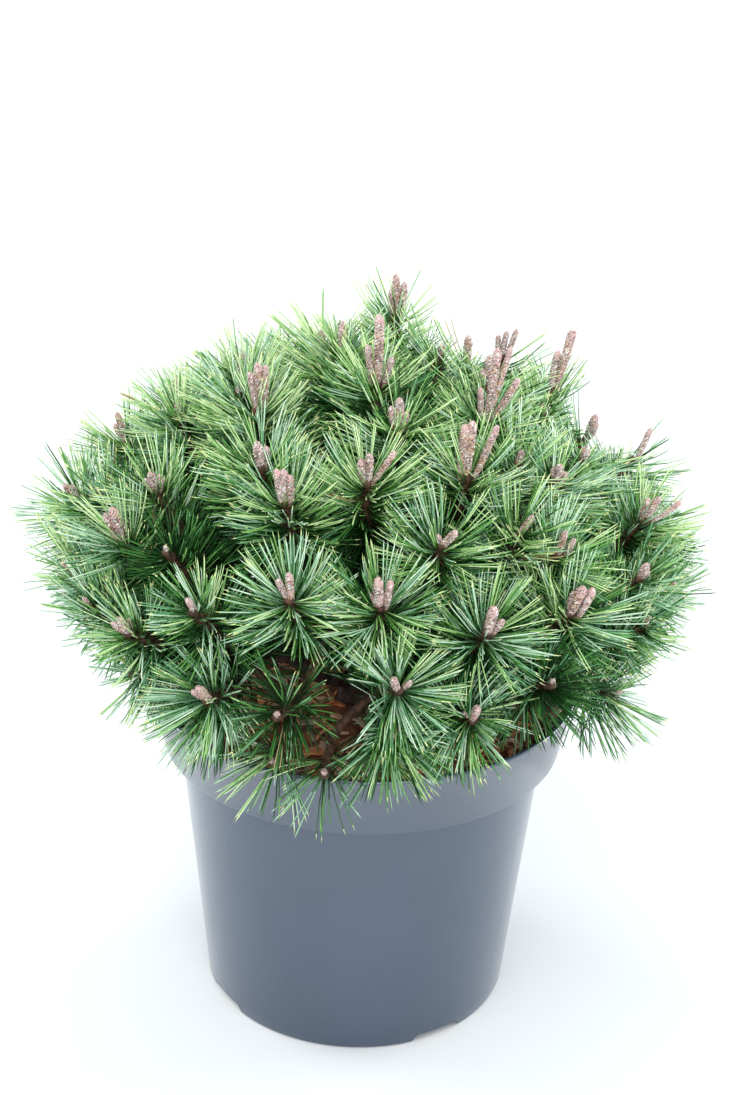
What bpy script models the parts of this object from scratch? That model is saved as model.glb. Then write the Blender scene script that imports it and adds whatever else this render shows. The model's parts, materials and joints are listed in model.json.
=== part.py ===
"""Mugo pine in its nursery pot.

A low, dome-shaped dwarf pine stands in a round container with a flared lip.
A short trunk rises from bark mulch and forks into boughs. Each bough ends
where it enters its own mass of needles: a stem that branches into shoots,
each shoot with a starburst of needles and a candle at its tip.

Metres, +Z up. The origin is the middle of the pot's flat underside and the
front of the plant faces -Y.
"""

import math
import random

import bmesh
import bpy
import numpy as np
from mathutils import Vector

# Gap that touching pieces keep between them
GAP = 0.0003

# Pot: a tapered container with a wide flared lip and a notched foot
POT_HEIGHT = 0.2633
POT_SEGMENTS = 48
FOOT_RADIUS = 0.1208
SHOULDER_RADIUS = 0.1420
LIP_BOTTOM = 0.2132
LIP_BOTTOM_RADIUS = 0.1548
LIP_EDGE = 0.0015
RIM_RADIUS = 0.1656
RIM_BEAD = 0.0035
RIM_BEAD_MIDDLE = 0.6
RIM_NECK = 0.0010
RIM_TOP_INSET = 0.0008
RIM_TOP_WIDTH = 0.0030
WALL = 0.0025
WALL_RISE_AT_CHANNEL = 0.0011
FLOOR = 0.0030
FLOOR_DISC_RADIUS = 0.0940
FOOT_RING = 0.0030
DRAIN_CHANNEL_HEIGHT = 0.0080
DRAIN_CHANNEL_SLANT = 0.0030
NOTCH_COUNT = 4
NOTCH_FIRST_AZIMUTH = 32.5
NOTCH_WIDTH = 0.046
NOTCH_SLANT = 0.006
NOTCH_HEIGHT = 0.006
NOTCH_INWARD = 0.006
NOTCH_OUTWARD = 0.010
DRAIN_HOLE_RADIUS = 0.005
DRAIN_HOLE_SIDES = 10
CUT_MARGIN = 0.002
POT_EDGE_ANGLE = 35

# Filling: growing medium below, bark mulch on top of it
MEDIUM_TOP = 0.2100
MULCH_TOP = 0.2440
MULCH_LUMP = 0.0045
MULCH_EDGE_DROP = 0.006
MULCH_DIP = 0.004
MULCH_RINGS = (0.80, 0.60, 0.40, 0.20)
MULCH_SEED = 5
MULCH_SEAT_RADIUS = 0.030
FILL_SEGMENTS = 28

# Trunk: height above the mulch and radius, from the flat cut to the fork
TRUNK_STATIONS = ((0.000, 0.0215), (0.008, 0.0170), (0.026, 0.0148), (0.052, 0.0136), (0.080, 0.0118))
TRUNK_SIDES = 12
TRUNK_LEAN = 0.06
FLARE_LOBES = 5
FLARE_DEPTH = 0.0022
BARK_EDGE_ANGLE = 50

# Crown: shoots sit on a flattened dome, seen from the fork of the trunk
DOME_CENTRE = (0.003, 0.000, 0.355)
DOME_RADIUS = 0.226
DOME_RISE = 0.168
DOME_SHOULDER = 0.06
DOME_UNDERCUT = 0.28
FORK_POINT = (0.003, 0.000, 0.300)

# Boughs, tier by tier: name, elevation on the dome, count, first azimuth, height on the trunk
BOUGH_TIERS = (
    ("low", -8.0, 8, 6.5, 0.018),
    ("mid", 21.0, 7, -8.0, 0.042),
    ("high", 50.0, 5, 20.0, 0.064),
)
BOUGH_STAGGER = 0.005
BOUGH_SEAT = 0.99
BOUGH_PULL = 0.38
BOUGH_REACH = 0.52
BOUGH_FOOT_RADIUS = 0.0052
BOUGH_TIP_RADIUS = 0.0040
BOUGH_SIDES = 5
BOUGH_STEPS = 5
TOP_BOUGH_AZIMUTH = 40.0
TOP_BOUGH_ELEVATION = 88.0
TOP_BOUGH_REACH = 0.40

# Stem and twigs inside each mass
STEM_LENGTH = 0.024
STEM_TIP_RADIUS = 0.0032
TWIG_RADIUS = 0.0029
TWIG_SIDES = 3
TWIG_STEPS = 2
TWIG_PULL = 0.35
FIRST_TWIG = 0.45
TWIG_SPAN = 0.45

# How far shoots and candles turn up towards the light
SHOOT_LIFT = 0.45
SHOOT_LIFT_WITH_RISE = 0.35
LEAST_SHOOT_LIFT = 0.05
CANDLE_LIFT = 0.9

# Front shoots, tier by tier: elevation, then for each shoot its azimuth from the front, the
# length of its candle in mm and, where it stands proud of the dome, by how many mm
FRONT_SHOOTS = (
    (77, ((1, 49), (166, 30, 20), (112, 6))),
    (71, ((-145, 8),)),
    (62, ((-76, 9), (-55, 26), (50, 53), (120, 19, 12))),
    (50, ((-34, 16), (-2, 21), (28, 35), (46, 11), (112, 44, 10))),
    (43, ((-22, 23), (55, 10), (74, 7))),
    (35, ((-60, 12), (15, 12), (34, 15))),
    (28, ((-103, 19, 5), (41, 15), (101, 21, 10))),
    (22, ((-59, 18), (-15, 16), (2, 22), (78, 18))),
    (15, ((-91, 13, 8), (-33, 8), (21, 19), (39, 25), (61, 10))),
    (4, ((-47, 17), (5, 10), (59, 6))),
    (-7, ((-30, 15), (-16, 3), (19, 16))),
    (-15, ((55, 0, 12),)),
    (-31, ((-21, 3, 15), (-9, 6, 18), (4, 3))),
)
SHOOT_SPACING = 0.0485
LOWEST_SHOOT = -20.0
FILL_TRIES = 4000
FILL_SEED = 11
FILL_CANDLE = 0.010
FILL_CANDLE_WITH_RISE = 0.016
SHORTEST_FILL_SHARE = 0.2
WINDOW_AZIMUTH = -15.0
WINDOW_ELEVATION = -6.0
WINDOW_RADIUS = 0.058

# Needles: spikes on a slim core behind each shoot's head
CORE_SIDES = 6
CORE_LENGTH = 0.030
CORE_RADIUS = 0.0052
CORE_TIP = 0.002
CORE_STATIONS = ((0.08, 0.85, 0.0), (0.45, 1.0, 0.2), (0.88, 0.80, 0.4))
NEEDLE_SEED = 1000
NEEDLE_LENGTH = 0.047
SHORTEST_NEEDLE_SHARE = 0.90
LONGEST_NEEDLE_SHARE = 1.06
SPIKE_SAMPLES = 12
BACK_LEAN = 80.0
SIDE_LEAN = 62.0
FRONT_LEAN = 40.0
LEAN_SPREAD = 4.0
TWIST_SPREAD = 5.0
SPIKE_HALF_WIDTH = 0.0036
SHORTEST_SPIKE = 0.45
CANDLE_FREE_FROM = 0.30
POT_MARGIN = 0.0014

# Candles: widths at their root, shoulder and tip; a tall one has a shorter one beside it
CANDLE_RADIUS = 0.0036
CANDLE_SIDES = 4
CANDLE_ROOT = 0.004
CANDLE_SHOULDER = 0.85
CANDLE_WIDTHS = (0.8, 1.0, 0.35)
SHORTEST_CANDLE = 0.009
TALL_CANDLE = 0.020
SIDE_CANDLE_SHARE = 0.55
SIDE_CANDLE_LEAN = 0.45

# Colours (linear) and finish: colour, roughness
FINISHES = {
    "pot_plastic": ((0.125, 0.160, 0.215), 0.55),
    "growing_medium": ((0.020, 0.013, 0.009), 0.95),
    "bark_mulch": ((0.110, 0.035, 0.015), 0.90),
    "bark": ((0.060, 0.034, 0.022), 0.85),
    "needles": ((0.080, 0.210, 0.060), 0.50),
}


def clear_scene():
    for item in list(bpy.data.objects):
        bpy.data.objects.remove(item, do_unlink=True)


def material(name):
    colour, roughness = FINISHES[name]
    found = bpy.data.materials.get(name)
    if found:
        return found
    made = bpy.data.materials.new(name)
    made.use_nodes = True
    shader = made.node_tree.nodes["Principled BSDF"]
    shader.inputs["Base Color"].default_value = (*colour, 1.0)
    shader.inputs["Roughness"].default_value = roughness
    shader.inputs["Metallic"].default_value = 0.0
    return made


def mesh_object(name, vertices, faces, finish, collection=None):
    mesh = bpy.data.meshes.new(name)
    mesh.from_pydata([tuple(vertex) for vertex in vertices], [], faces)
    mesh.validate()
    made = bpy.data.objects.new(name, mesh)
    (collection or bpy.context.scene.collection).objects.link(made)
    made.data.materials.append(material(finish))
    return made


def smooth(made, angle):
    made.data.shade_smooth()
    made.data.set_sharp_from_angle(angle=math.radians(angle))


def turned(profile, segments, height_change=None):
    """Vertices and faces of a closed solid turned about Z.

    The profile runs from the axis underneath, round the outside, to the axis on top.
    height_change(ring, azimuth) may lift the points of a ring.
    """
    vertices = []
    faces = []
    rings = []
    for number, (radius, height) in enumerate(profile):
        if radius == 0.0:
            rings.append([len(vertices)] * segments)
            vertices.append((0.0, 0.0, height))
            continue
        ring = []
        for step in range(segments):
            azimuth = 2.0 * math.pi * step / segments
            lift = height_change(number, azimuth) if height_change else 0.0
            ring.append(len(vertices))
            vertices.append((radius * math.cos(azimuth), radius * math.sin(azimuth), height + lift))
        rings.append(ring)
    for lower, upper in zip(rings, rings[1:]):
        for step in range(segments):
            after = (step + 1) % segments
            corners = (lower[step], lower[after], upper[after], upper[step])
            faces.append(tuple(dict.fromkeys(corners)))
    return vertices, faces


def pot_outside():
    """Outside of the pot, from its foot up to the top of its rim."""
    return (
        (FOOT_RADIUS, 0.0),
        (SHOULDER_RADIUS, LIP_BOTTOM),
        (LIP_BOTTOM_RADIUS - LIP_EDGE, LIP_BOTTOM),
        (LIP_BOTTOM_RADIUS, LIP_BOTTOM + LIP_EDGE),
        (RIM_RADIUS - RIM_NECK, POT_HEIGHT - RIM_BEAD),
        (RIM_RADIUS, POT_HEIGHT - RIM_BEAD_MIDDLE * RIM_BEAD),
        (RIM_RADIUS - RIM_TOP_INSET, POT_HEIGHT),
    )


def pot_inside():
    """Inside of the pot, from its rim down to the middle of its floor."""
    channel_top = DRAIN_CHANNEL_HEIGHT + FLOOR
    return (
        (RIM_RADIUS - RIM_TOP_WIDTH, POT_HEIGHT),
        (LIP_BOTTOM_RADIUS - WALL, LIP_BOTTOM + WALL),
        (SHOULDER_RADIUS - WALL, LIP_BOTTOM + WALL),
        (FOOT_RADIUS - WALL + WALL_RISE_AT_CHANNEL, channel_top),
        (FLOOR_DISC_RADIUS + DRAIN_CHANNEL_SLANT - FLOOR, channel_top),
        (FLOOR_DISC_RADIUS - FLOOR, FLOOR),
        (0.0, FLOOR),
    )


def radius_on(outline, height):
    """Radius of the part of an outline that runs up through a height."""
    for (radius_a, height_a), (radius_b, height_b) in zip(outline, outline[1:]):
        low, high = sorted((height_a, height_b))
        if low <= height <= high and high > low:
            share = (height - height_a) / (height_b - height_a)
            return radius_a + share * (radius_b - radius_a)
    return outline[0][0]


def wedge(name, inner, outer, azimuth):
    """A notch cutter with slanted sides, from under the foot to the notch's roof."""
    below = -CUT_MARGIN
    slope = NOTCH_SLANT / NOTCH_HEIGHT
    vertices = []
    for height in (below, NOTCH_HEIGHT):
        half = 0.5 * NOTCH_WIDTH - slope * max(height, below)
        for radius, side in ((inner, -half), (outer, -half), (outer, half), (inner, half)):
            vertices.append((radius, side, height))
    faces = [(3, 2, 1, 0), (4, 5, 6, 7), (0, 1, 5, 4), (1, 2, 6, 5), (2, 3, 7, 6), (3, 0, 4, 7)]
    made = mesh_object(name, vertices, faces, "pot_plastic")
    made.rotation_euler = (0.0, 0.0, math.radians(azimuth - 90.0))
    return made


def drain_hole(name, radius_out, azimuth):
    bottom = DRAIN_CHANNEL_HEIGHT - CUT_MARGIN
    top = DRAIN_CHANNEL_HEIGHT + FLOOR + CUT_MARGIN
    outline = ((0.0, bottom), (DRAIN_HOLE_RADIUS, bottom), (DRAIN_HOLE_RADIUS, top), (0.0, top))
    made = mesh_object(name, *turned(outline, DRAIN_HOLE_SIDES), "pot_plastic")
    angle = math.radians(azimuth - 90.0)
    made.location = (radius_out * math.cos(angle), radius_out * math.sin(angle), 0.0)
    return made


def apply_boolean(target, operation, cutters, solver):
    """Cut or join a group of objects with one Boolean, then remove the group."""
    group = bpy.data.collections.new("cutters")
    bpy.context.scene.collection.children.link(group)
    for cutter in cutters:
        for owner in list(cutter.users_collection):
            owner.objects.unlink(cutter)
        group.objects.link(cutter)
    change = target.modifiers.new("join", "BOOLEAN")
    change.operation = operation
    change.operand_type = "COLLECTION"
    change.collection = group
    change.solver = solver
    bpy.context.view_layer.update()
    graph = bpy.context.evaluated_depsgraph_get()
    result = bpy.data.meshes.new_from_object(target.evaluated_get(graph))
    target.modifiers.clear()
    old = target.data
    target.data = result
    result.name = target.name
    bpy.data.meshes.remove(old)
    for cutter in list(group.objects):
        bpy.data.objects.remove(cutter, do_unlink=True)
    bpy.data.collections.remove(group)


def make_pot():
    foot_inner = FOOT_RADIUS - FOOT_RING
    channel_inner = FLOOR_DISC_RADIUS + DRAIN_CHANNEL_SLANT
    under = (
        (0.0, 0.0),
        (FLOOR_DISC_RADIUS, 0.0),
        (channel_inner, DRAIN_CHANNEL_HEIGHT),
        (foot_inner, DRAIN_CHANNEL_HEIGHT),
        (foot_inner, 0.0),
    )
    pot = mesh_object("pot", *turned(under + pot_outside() + pot_inside(), POT_SEGMENTS), "pot_plastic")
    cutters = []
    for number in range(NOTCH_COUNT):
        azimuth = NOTCH_FIRST_AZIMUTH + number * 360.0 / NOTCH_COUNT
        inner = foot_inner - NOTCH_INWARD
        outer = FOOT_RADIUS + NOTCH_OUTWARD
        cutters.append(wedge(f"notch_{number}", inner, outer, azimuth))
        middle = 0.5 * (channel_inner + foot_inner)
        cutters.append(drain_hole(f"drain_{number}", middle, azimuth + 0.5 * 360.0 / NOTCH_COUNT))
    apply_boolean(pot, "DIFFERENCE", cutters, "EXACT")
    smooth(pot, POT_EDGE_ANGLE)
    return pot


def make_growing_medium():
    inside = [(radius - GAP if radius else 0.0, height + GAP) for radius, height in reversed(pot_inside())]
    below_top = [point for point in inside if point[1] < MEDIUM_TOP]
    edge = radius_on(pot_inside(), MEDIUM_TOP) - GAP
    profile = below_top + [(edge, MEDIUM_TOP), (0.0, MEDIUM_TOP)]
    medium = mesh_object("growing_medium", *turned(profile, FILL_SEGMENTS), "growing_medium")
    smooth(medium, POT_EDGE_ANGLE)
    return medium


def make_bark_mulch():
    bottom = MEDIUM_TOP + GAP
    step = LIP_BOTTOM + WALL + GAP
    edge_height = MULCH_TOP - MULCH_EDGE_DROP
    edge = radius_on(pot_inside()[:2], edge_height) - 2.0 * GAP
    chooser = random.Random(MULCH_SEED)
    rings = [MULCH_SEAT_RADIUS + (edge - MULCH_SEAT_RADIUS) * share for share in MULCH_RINGS]
    profile = [
        (0.0, bottom),
        (radius_on(pot_inside()[2:4], bottom) - GAP, bottom),
        (SHOULDER_RADIUS - WALL - GAP, step),
        (LIP_BOTTOM_RADIUS - WALL - 2.0 * GAP, step),
        (edge, edge_height),
    ]
    first_lumpy = len(profile)
    profile += [(radius, MULCH_TOP - MULCH_DIP) for radius in rings]
    last_lumpy = len(profile)
    profile += [(MULCH_SEAT_RADIUS, MULCH_TOP), (0.0, MULCH_TOP)]

    def lumps(ring, azimuth):
        if first_lumpy <= ring < last_lumpy:
            return chooser.uniform(-MULCH_LUMP, MULCH_LUMP)
        return 0.0

    return mesh_object("bark_mulch", *turned(profile, FILL_SEGMENTS, lumps), "bark_mulch")


def sideways(direction):
    """Two unit vectors square to a direction, making a right-handed frame with it."""
    helper = Vector((0.0, 0.0, 1.0)) if abs(direction.z) < 0.9 else Vector((0.0, 1.0, 0.0))
    across = helper.cross(direction).normalized()
    return across, direction.cross(across)


def ring_points(centre, across, upward, radius, sides, turn=0.0):
    points = []
    for step in range(sides):
        angle = 2.0 * math.pi * step / sides + turn
        points.append(centre + radius * (math.cos(angle) * across + math.sin(angle) * upward))
    return points


def bezier(start, start_pull, end_pull, end, steps):
    points = []
    for step in range(steps + 1):
        t = step / steps
        s = 1.0 - t
        points.append(s**3 * start + 3 * s * s * t * start_pull + 3 * s * t * t * end_pull + t**3 * end)
    return points


def frames_along(path, first=None):
    """A frame at each point of a path, carried along it without twist."""
    frames = []
    across = None
    for number, point in enumerate(path):
        before = path[max(number - 1, 0)]
        after = path[min(number + 1, len(path) - 1)]
        direction = (after - before).normalized()
        if number == 0 and first is not None:
            direction = first
        if across is None:
            across = sideways(direction)[0]
        across = (across - direction * across.dot(direction)).normalized()
        frames.append((point, across, direction.cross(across)))
    return frames


def bridge(first, first_start, second, second_start):
    """Triangles between two rings that may differ in their number of points."""
    faces = []
    a, b = 0, 0
    while a < first or b < second:
        next_a = (a + 1) / first
        next_b = (b + 1) / second
        point_a = first_start + a % first
        point_b = second_start + b % second
        if b >= second or (a < first and next_a <= next_b):
            faces.append((point_a, first_start + (a + 1) % first, point_b))
            a += 1
        else:
            faces.append((point_a, second_start + (b + 1) % second, point_b))
            b += 1
    return faces


def limb(name, path, radii, sides, finish, first=None, collection=None):
    """A tapering limb with flat ends along a path."""
    vertices = []
    faces = []
    for (centre, across, upward), radius in zip(frames_along(path, first), radii):
        vertices += ring_points(centre, across, upward, radius, sides)
    for ring in range(len(path) - 1):
        for step in range(sides):
            after = (step + 1) % sides
            low = ring * sides
            faces.append((low + step, low + after, low + sides + after, low + sides + step))
    faces.append(tuple(reversed(range(sides))))
    faces.append(tuple(range(len(vertices) - sides, len(vertices))))
    return mesh_object(name, vertices, faces, finish, collection)


def trunk_centre(height):
    return Vector((TRUNK_LEAN * height, 0.0, MULCH_TOP + GAP + height))


def trunk_radius(height):
    for (height_a, radius_a), (height_b, radius_b) in zip(TRUNK_STATIONS, TRUNK_STATIONS[1:]):
        if height_a <= height <= height_b:
            return radius_a + (radius_b - radius_a) * (height - height_a) / (height_b - height_a)
    return TRUNK_STATIONS[-1][1]


def make_trunk():
    vertices = []
    faces = []
    for number, (height, radius) in enumerate(TRUNK_STATIONS):
        centre = trunk_centre(height)
        flare = FLARE_DEPTH if number == 0 else 0.0
        for step in range(TRUNK_SIDES):
            angle = 2.0 * math.pi * step / TRUNK_SIDES
            reach = radius + flare * math.cos(FLARE_LOBES * angle)
            vertices.append(centre + reach * Vector((math.cos(angle), math.sin(angle), 0.0)))
    for ring in range(len(TRUNK_STATIONS) - 1):
        low = ring * TRUNK_SIDES
        for step in range(TRUNK_SIDES):
            after = (step + 1) % TRUNK_SIDES
            faces.append((low + step, low + after, low + TRUNK_SIDES + after, low + TRUNK_SIDES + step))
    faces.append(tuple(reversed(range(TRUNK_SIDES))))
    faces.append(tuple(range(len(vertices) - TRUNK_SIDES, len(vertices))))
    trunk = mesh_object("trunk", vertices, faces, "bark")
    smooth(trunk, BARK_EDGE_ANGLE)
    return trunk


def on_dome(azimuth, elevation, proud=0.0):
    """Point of the crown's dome; azimuth from the front towards +X, both in degrees.

    The dome is drawn in a little at its shoulder and more on its underside.
    """
    turn = math.radians(azimuth)
    rise = math.radians(elevation)
    if rise > 0.0:
        width = 1.0 - DOME_SHOULDER * math.sin(2.0 * rise) ** 2
    else:
        width = 1.0 + DOME_UNDERCUT * rise
    out = DOME_RADIUS * math.cos(rise)
    offset = Vector((out * math.sin(turn), -out * math.cos(turn), DOME_RISE * math.sin(rise)))
    return Vector(DOME_CENTRE) + width * offset + proud * offset.normalized()


def dome_normal(point):
    offset = point - Vector(DOME_CENTRE)
    return Vector((offset.x / DOME_RADIUS**2, offset.y / DOME_RADIUS**2, offset.z / DOME_RISE**2)).normalized()


def plan_shoots():
    """Every shoot's head on the dome and its candle's length.

    The front shoots are placed tier by tier. A seeded rule fills the rest of the dome,
    no closer than the spacing, and leaves the low window in front free.
    """
    heads = []
    for elevation, row in FRONT_SHOOTS:
        for azimuth, candle, *proud in row:
            head = on_dome(azimuth, elevation, sum(proud) / 1000.0)
            heads.append((head, candle / 1000.0))
    window = on_dome(WINDOW_AZIMUTH, WINDOW_ELEVATION)
    chooser = random.Random(FILL_SEED)
    lowest = math.sin(math.radians(LOWEST_SHOOT))
    for _ in range(FILL_TRIES):
        azimuth = chooser.uniform(-180.0, 180.0)
        elevation = math.degrees(math.asin(chooser.uniform(lowest, 1.0)))
        share = chooser.uniform(SHORTEST_FILL_SHARE, 1.0)
        point = on_dome(azimuth, elevation)
        if (point - window).length < WINDOW_RADIUS:
            continue
        if min((point - head).length for head, candle in heads) < SHOOT_SPACING:
            continue
        rise = max(0.0, math.sin(math.radians(elevation)))
        candle = (FILL_CANDLE + FILL_CANDLE_WITH_RISE * rise) * share
        heads.append((point, candle))
    return heads


def plan_boughs():
    """Each bough: name, tip, direction at its tip, and where it leaves the trunk."""
    fork = Vector(FORK_POINT)
    boughs = []
    for tier, elevation, count, first_azimuth, height in BOUGH_TIERS:
        for number in range(count):
            azimuth = first_azimuth + number * 360.0 / count
            target = on_dome(azimuth, elevation)
            stagger = BOUGH_STAGGER if number % 2 else -BOUGH_STAGGER
            tip = fork + BOUGH_REACH * (target - fork)
            boughs.append((f"{tier}_{number + 1}", tip, (target - fork).normalized(), height + stagger, azimuth))
    target = on_dome(TOP_BOUGH_AZIMUTH, TOP_BOUGH_ELEVATION)
    tip = fork + TOP_BOUGH_REACH * (target - fork)
    boughs.append(("top", tip, (target - fork).normalized(), None, 0.0))
    return boughs


def make_bough(bough):
    name, tip, direction, height, azimuth = bough
    if height is None:
        top = TRUNK_STATIONS[-1][0]
        first = Vector((0.0, 0.0, 1.0))
        start = trunk_centre(top) + GAP * first
    else:
        turn = math.radians(azimuth)
        first = Vector((math.sin(turn), -math.cos(turn), 0.0))
        seat = trunk_radius(height - BOUGH_FOOT_RADIUS) * BOUGH_SEAT
        start = trunk_centre(height) + (seat + GAP) * first
    pull = BOUGH_PULL * (tip - start).length
    path = bezier(start, start + pull * first, tip - pull * direction, tip, BOUGH_STEPS)
    change = (BOUGH_TIP_RADIUS - BOUGH_FOOT_RADIUS) / BOUGH_STEPS
    radii = [BOUGH_FOOT_RADIUS + change * step for step in range(BOUGH_STEPS + 1)]
    made = limb(f"bough_{name}", path, radii, BOUGH_SIDES, "bark", first)
    smooth(made, BARK_EDGE_ANGLE)
    return (path[-1] - path[-2]).normalized()


def shoot_axis(head):
    """Shoots grow outwards and turn up towards the light; the lowest ones stay level."""
    outward = dome_normal(head)
    rise = (head.z - DOME_CENTRE[2]) / DOME_RISE
    lift = SHOOT_LIFT + SHOOT_LIFT_WITH_RISE * rise
    return (outward + max(LEAST_SHOOT_LIFT, lift) * Vector((0.0, 0.0, 1.0))).normalized()


class Shoot:
    """One shoot: its centre line from the mass's stem to its head, and its candle."""

    def __init__(self, number, root, root_direction, head, candle):
        self.number = number
        self.head = head
        self.candle = candle
        self.axis = shoot_axis(head)
        self.core_start = head - CORE_LENGTH * self.axis
        reach = (self.core_start - root).length
        first_pull = root + TWIG_PULL * reach * root_direction
        last_pull = self.core_start - TWIG_PULL * reach * self.axis
        self.path = bezier(root, first_pull, last_pull, self.core_start, TWIG_STEPS)
        self.up = (self.axis + Vector((0.0, 0.0, CANDLE_LIFT))).normalized()

    def twig_lines(self):
        points = self.path + [self.head]
        return list(zip(points, points[1:]))

    def candle_line(self):
        length = self.candle if self.candle >= SHORTEST_CANDLE else 0.0
        return self.head, self.head + length * self.up


def plan_masses(boughs, tip_directions):
    """Share the shoots out among the boughs by direction and lay out each mass's twigs."""
    fork = Vector(FORK_POINT)
    shares = [[] for _ in boughs]
    for head, candle in plan_shoots():
        toward = (head - fork).normalized()
        nearest = max(range(len(boughs)), key=lambda index: toward.dot(boughs[index][2]))
        shares[nearest].append((head, candle))
    masses = []
    number = 0
    for index, (bough, heads) in enumerate(zip(boughs, shares)):
        direction = tip_directions[index]
        start = bough[1] + GAP * direction
        end = start + STEM_LENGTH * direction
        shoots = []
        for order, (head, candle) in enumerate(heads):
            share = FIRST_TWIG + TWIG_SPAN * (order + 0.5) / len(heads)
            root = start + share * (end - start)
            shoots.append(Shoot(number, root, direction, head, candle))
            number += 1
        masses.append((bough[0], start, end, direction, shoots))
    return masses


def distances(points, lines):
    """Distance from each point to each line, as a table."""
    starts = np.array([line[0][:] for line in lines])
    spans = np.array([(line[1] - line[0])[:] for line in lines])
    offset = points[:, None, :] - starts[None, :, :]
    along = np.einsum("pld,ld->pl", offset, spans) / np.maximum((spans**2).sum(1), 1e-12)
    along = np.clip(along, 0.0, 1.0)
    return np.linalg.norm(offset - along[:, :, None] * spans[None, :, :], axis=2)


def clear_of_pot(points, margins):
    """True where a point keeps its margin to the pot's rim and to the mulch."""
    radius = np.hypot(points[:, 0], points[:, 1])
    height = points[:, 2]
    above = height > POT_HEIGHT + margins
    in_front = (radius > RIM_RADIUS + margins) & (height > LIP_BOTTOM)
    over_mulch = (radius < LIP_BOTTOM_RADIUS - WALL - margins) & (height > MULCH_TOP + MULCH_LUMP + margins)
    return above | in_front | over_mulch


class Crown:
    """Lines of every shoot, used to keep each spike inside its own shoot's space."""

    def __init__(self, shoots):
        self.twigs = [line for shoot in shoots for line in shoot.twig_lines()]
        self.owner = np.array([shoot.number for shoot in shoots for line in shoot.twig_lines()])
        self.candles = [shoot.candle_line() for shoot in shoots]
        self.candle_owner = np.array([shoot.number for shoot in shoots])

    def free_length(self, shoot, base, direction, length):
        """Share of a spike's full length that stays in its own shoot's space."""
        shares = (np.arange(SPIKE_SAMPLES) + 1.0) / SPIKE_SAMPLES
        base = np.array(base[:])
        points = base + np.outer(shares * length, np.array(direction[:]))
        half = SPIKE_HALF_WIDTH * (1.0 - shares) + GAP
        table = distances(points, self.twigs)
        own = table[:, self.owner == shoot.number].min(axis=1)
        others = table[:, self.owner != shoot.number].min(axis=1)
        good = others - own > 2.0 * half
        candles = distances(points, self.candles) > (CANDLE_RADIUS + half)[:, None]
        candles[shares < CANDLE_FREE_FROM] |= self.candle_owner == shoot.number
        good &= candles.all(axis=1)
        good &= clear_of_pot(points, half + POT_MARGIN)
        bad = np.flatnonzero(~good)
        return 1.0 if len(bad) == 0 else float(bad[0]) / SPIKE_SAMPLES


def spike_tip(crown, shoot, corners, lean, chooser):
    """Tip of the spike that stands on a face of the core, or None where it has no room."""
    base = sum(corners, Vector()) / len(corners)
    offset = base - shoot.head
    outward = (offset - shoot.axis * offset.dot(shoot.axis)).normalized()
    twist = shoot.axis.cross(outward) * math.tan(math.radians(chooser.uniform(-TWIST_SPREAD, TWIST_SPREAD)))
    outward = (outward + twist).normalized()
    angle = math.radians(lean + chooser.uniform(-LEAN_SPREAD, LEAN_SPREAD))
    direction = math.cos(angle) * shoot.axis + math.sin(angle) * outward
    length = NEEDLE_LENGTH * chooser.uniform(SHORTEST_NEEDLE_SHARE, LONGEST_NEEDLE_SHARE)
    share = crown.free_length(shoot, base, direction, length)
    if share < SHORTEST_SPIKE:
        return None
    return base + share * length * direction


def shoot_object(crown, shoot, collection):
    """One closed mesh: three-sided twig, then a core with rows of spikes."""
    chooser = random.Random(NEEDLE_SEED + shoot.number)
    path = shoot.path
    vertices = []
    faces = []
    frames = frames_along(path)
    for centre, across, upward in frames:
        vertices += ring_points(centre, across, upward, TWIG_RADIUS, TWIG_SIDES)
    for ring in range(len(path) - 1):
        low = ring * TWIG_SIDES
        high = low + TWIG_SIDES
        for step in range(TWIG_SIDES):
            after = (step + 1) % TWIG_SIDES
            faces.append((low + step, low + after, high + after, high + step))
    faces.append(tuple(reversed(range(TWIG_SIDES))))
    across, upward = frames[-1][1], frames[-1][2]
    across = (across - shoot.axis * across.dot(shoot.axis)).normalized()
    upward = shoot.axis.cross(across)
    last_twig = len(vertices) - TWIG_SIDES
    rings = []
    for share, width, turn in CORE_STATIONS:
        rings.append(len(vertices))
        centre = shoot.core_start + share * CORE_LENGTH * shoot.axis
        vertices += ring_points(centre, across, upward, width * CORE_RADIUS, CORE_SIDES, turn)
    faces += bridge(TWIG_SIDES, last_twig, CORE_SIDES, rings[0])
    head = len(vertices)
    vertices.append(shoot.head + CORE_TIP * shoot.axis)
    for step in range(CORE_SIDES):
        after = (step + 1) % CORE_SIDES
        low, middle, high = (ring + step for ring in rings)
        low_after, middle_after, high_after = (ring + after for ring in rings)
        back = (low, low_after, middle_after, middle)
        sides = ((middle, high_after, high), (middle, middle_after, high_after))
        front = (high, high_after, head)
        add_spike(crown, shoot, vertices, faces, back, BACK_LEAN, chooser)
        for side in sides:
            add_spike(crown, shoot, vertices, faces, side, SIDE_LEAN, chooser)
        add_spike(crown, shoot, vertices, faces, front, FRONT_LEAN, chooser)
    return mesh_object(f"shoot_{shoot.number}", vertices, faces, "needles", collection)


def add_spike(crown, shoot, vertices, faces, base, lean, chooser):
    corners = [Vector(vertices[index]) for index in base]
    tip = spike_tip(crown, shoot, corners, lean, chooser)
    if tip is None:
        faces.append(base)
        return
    top = len(vertices)
    vertices.append(tip)
    for first, second in zip(base, base[1:] + base[:1]):
        faces.append((first, second, top))


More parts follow.
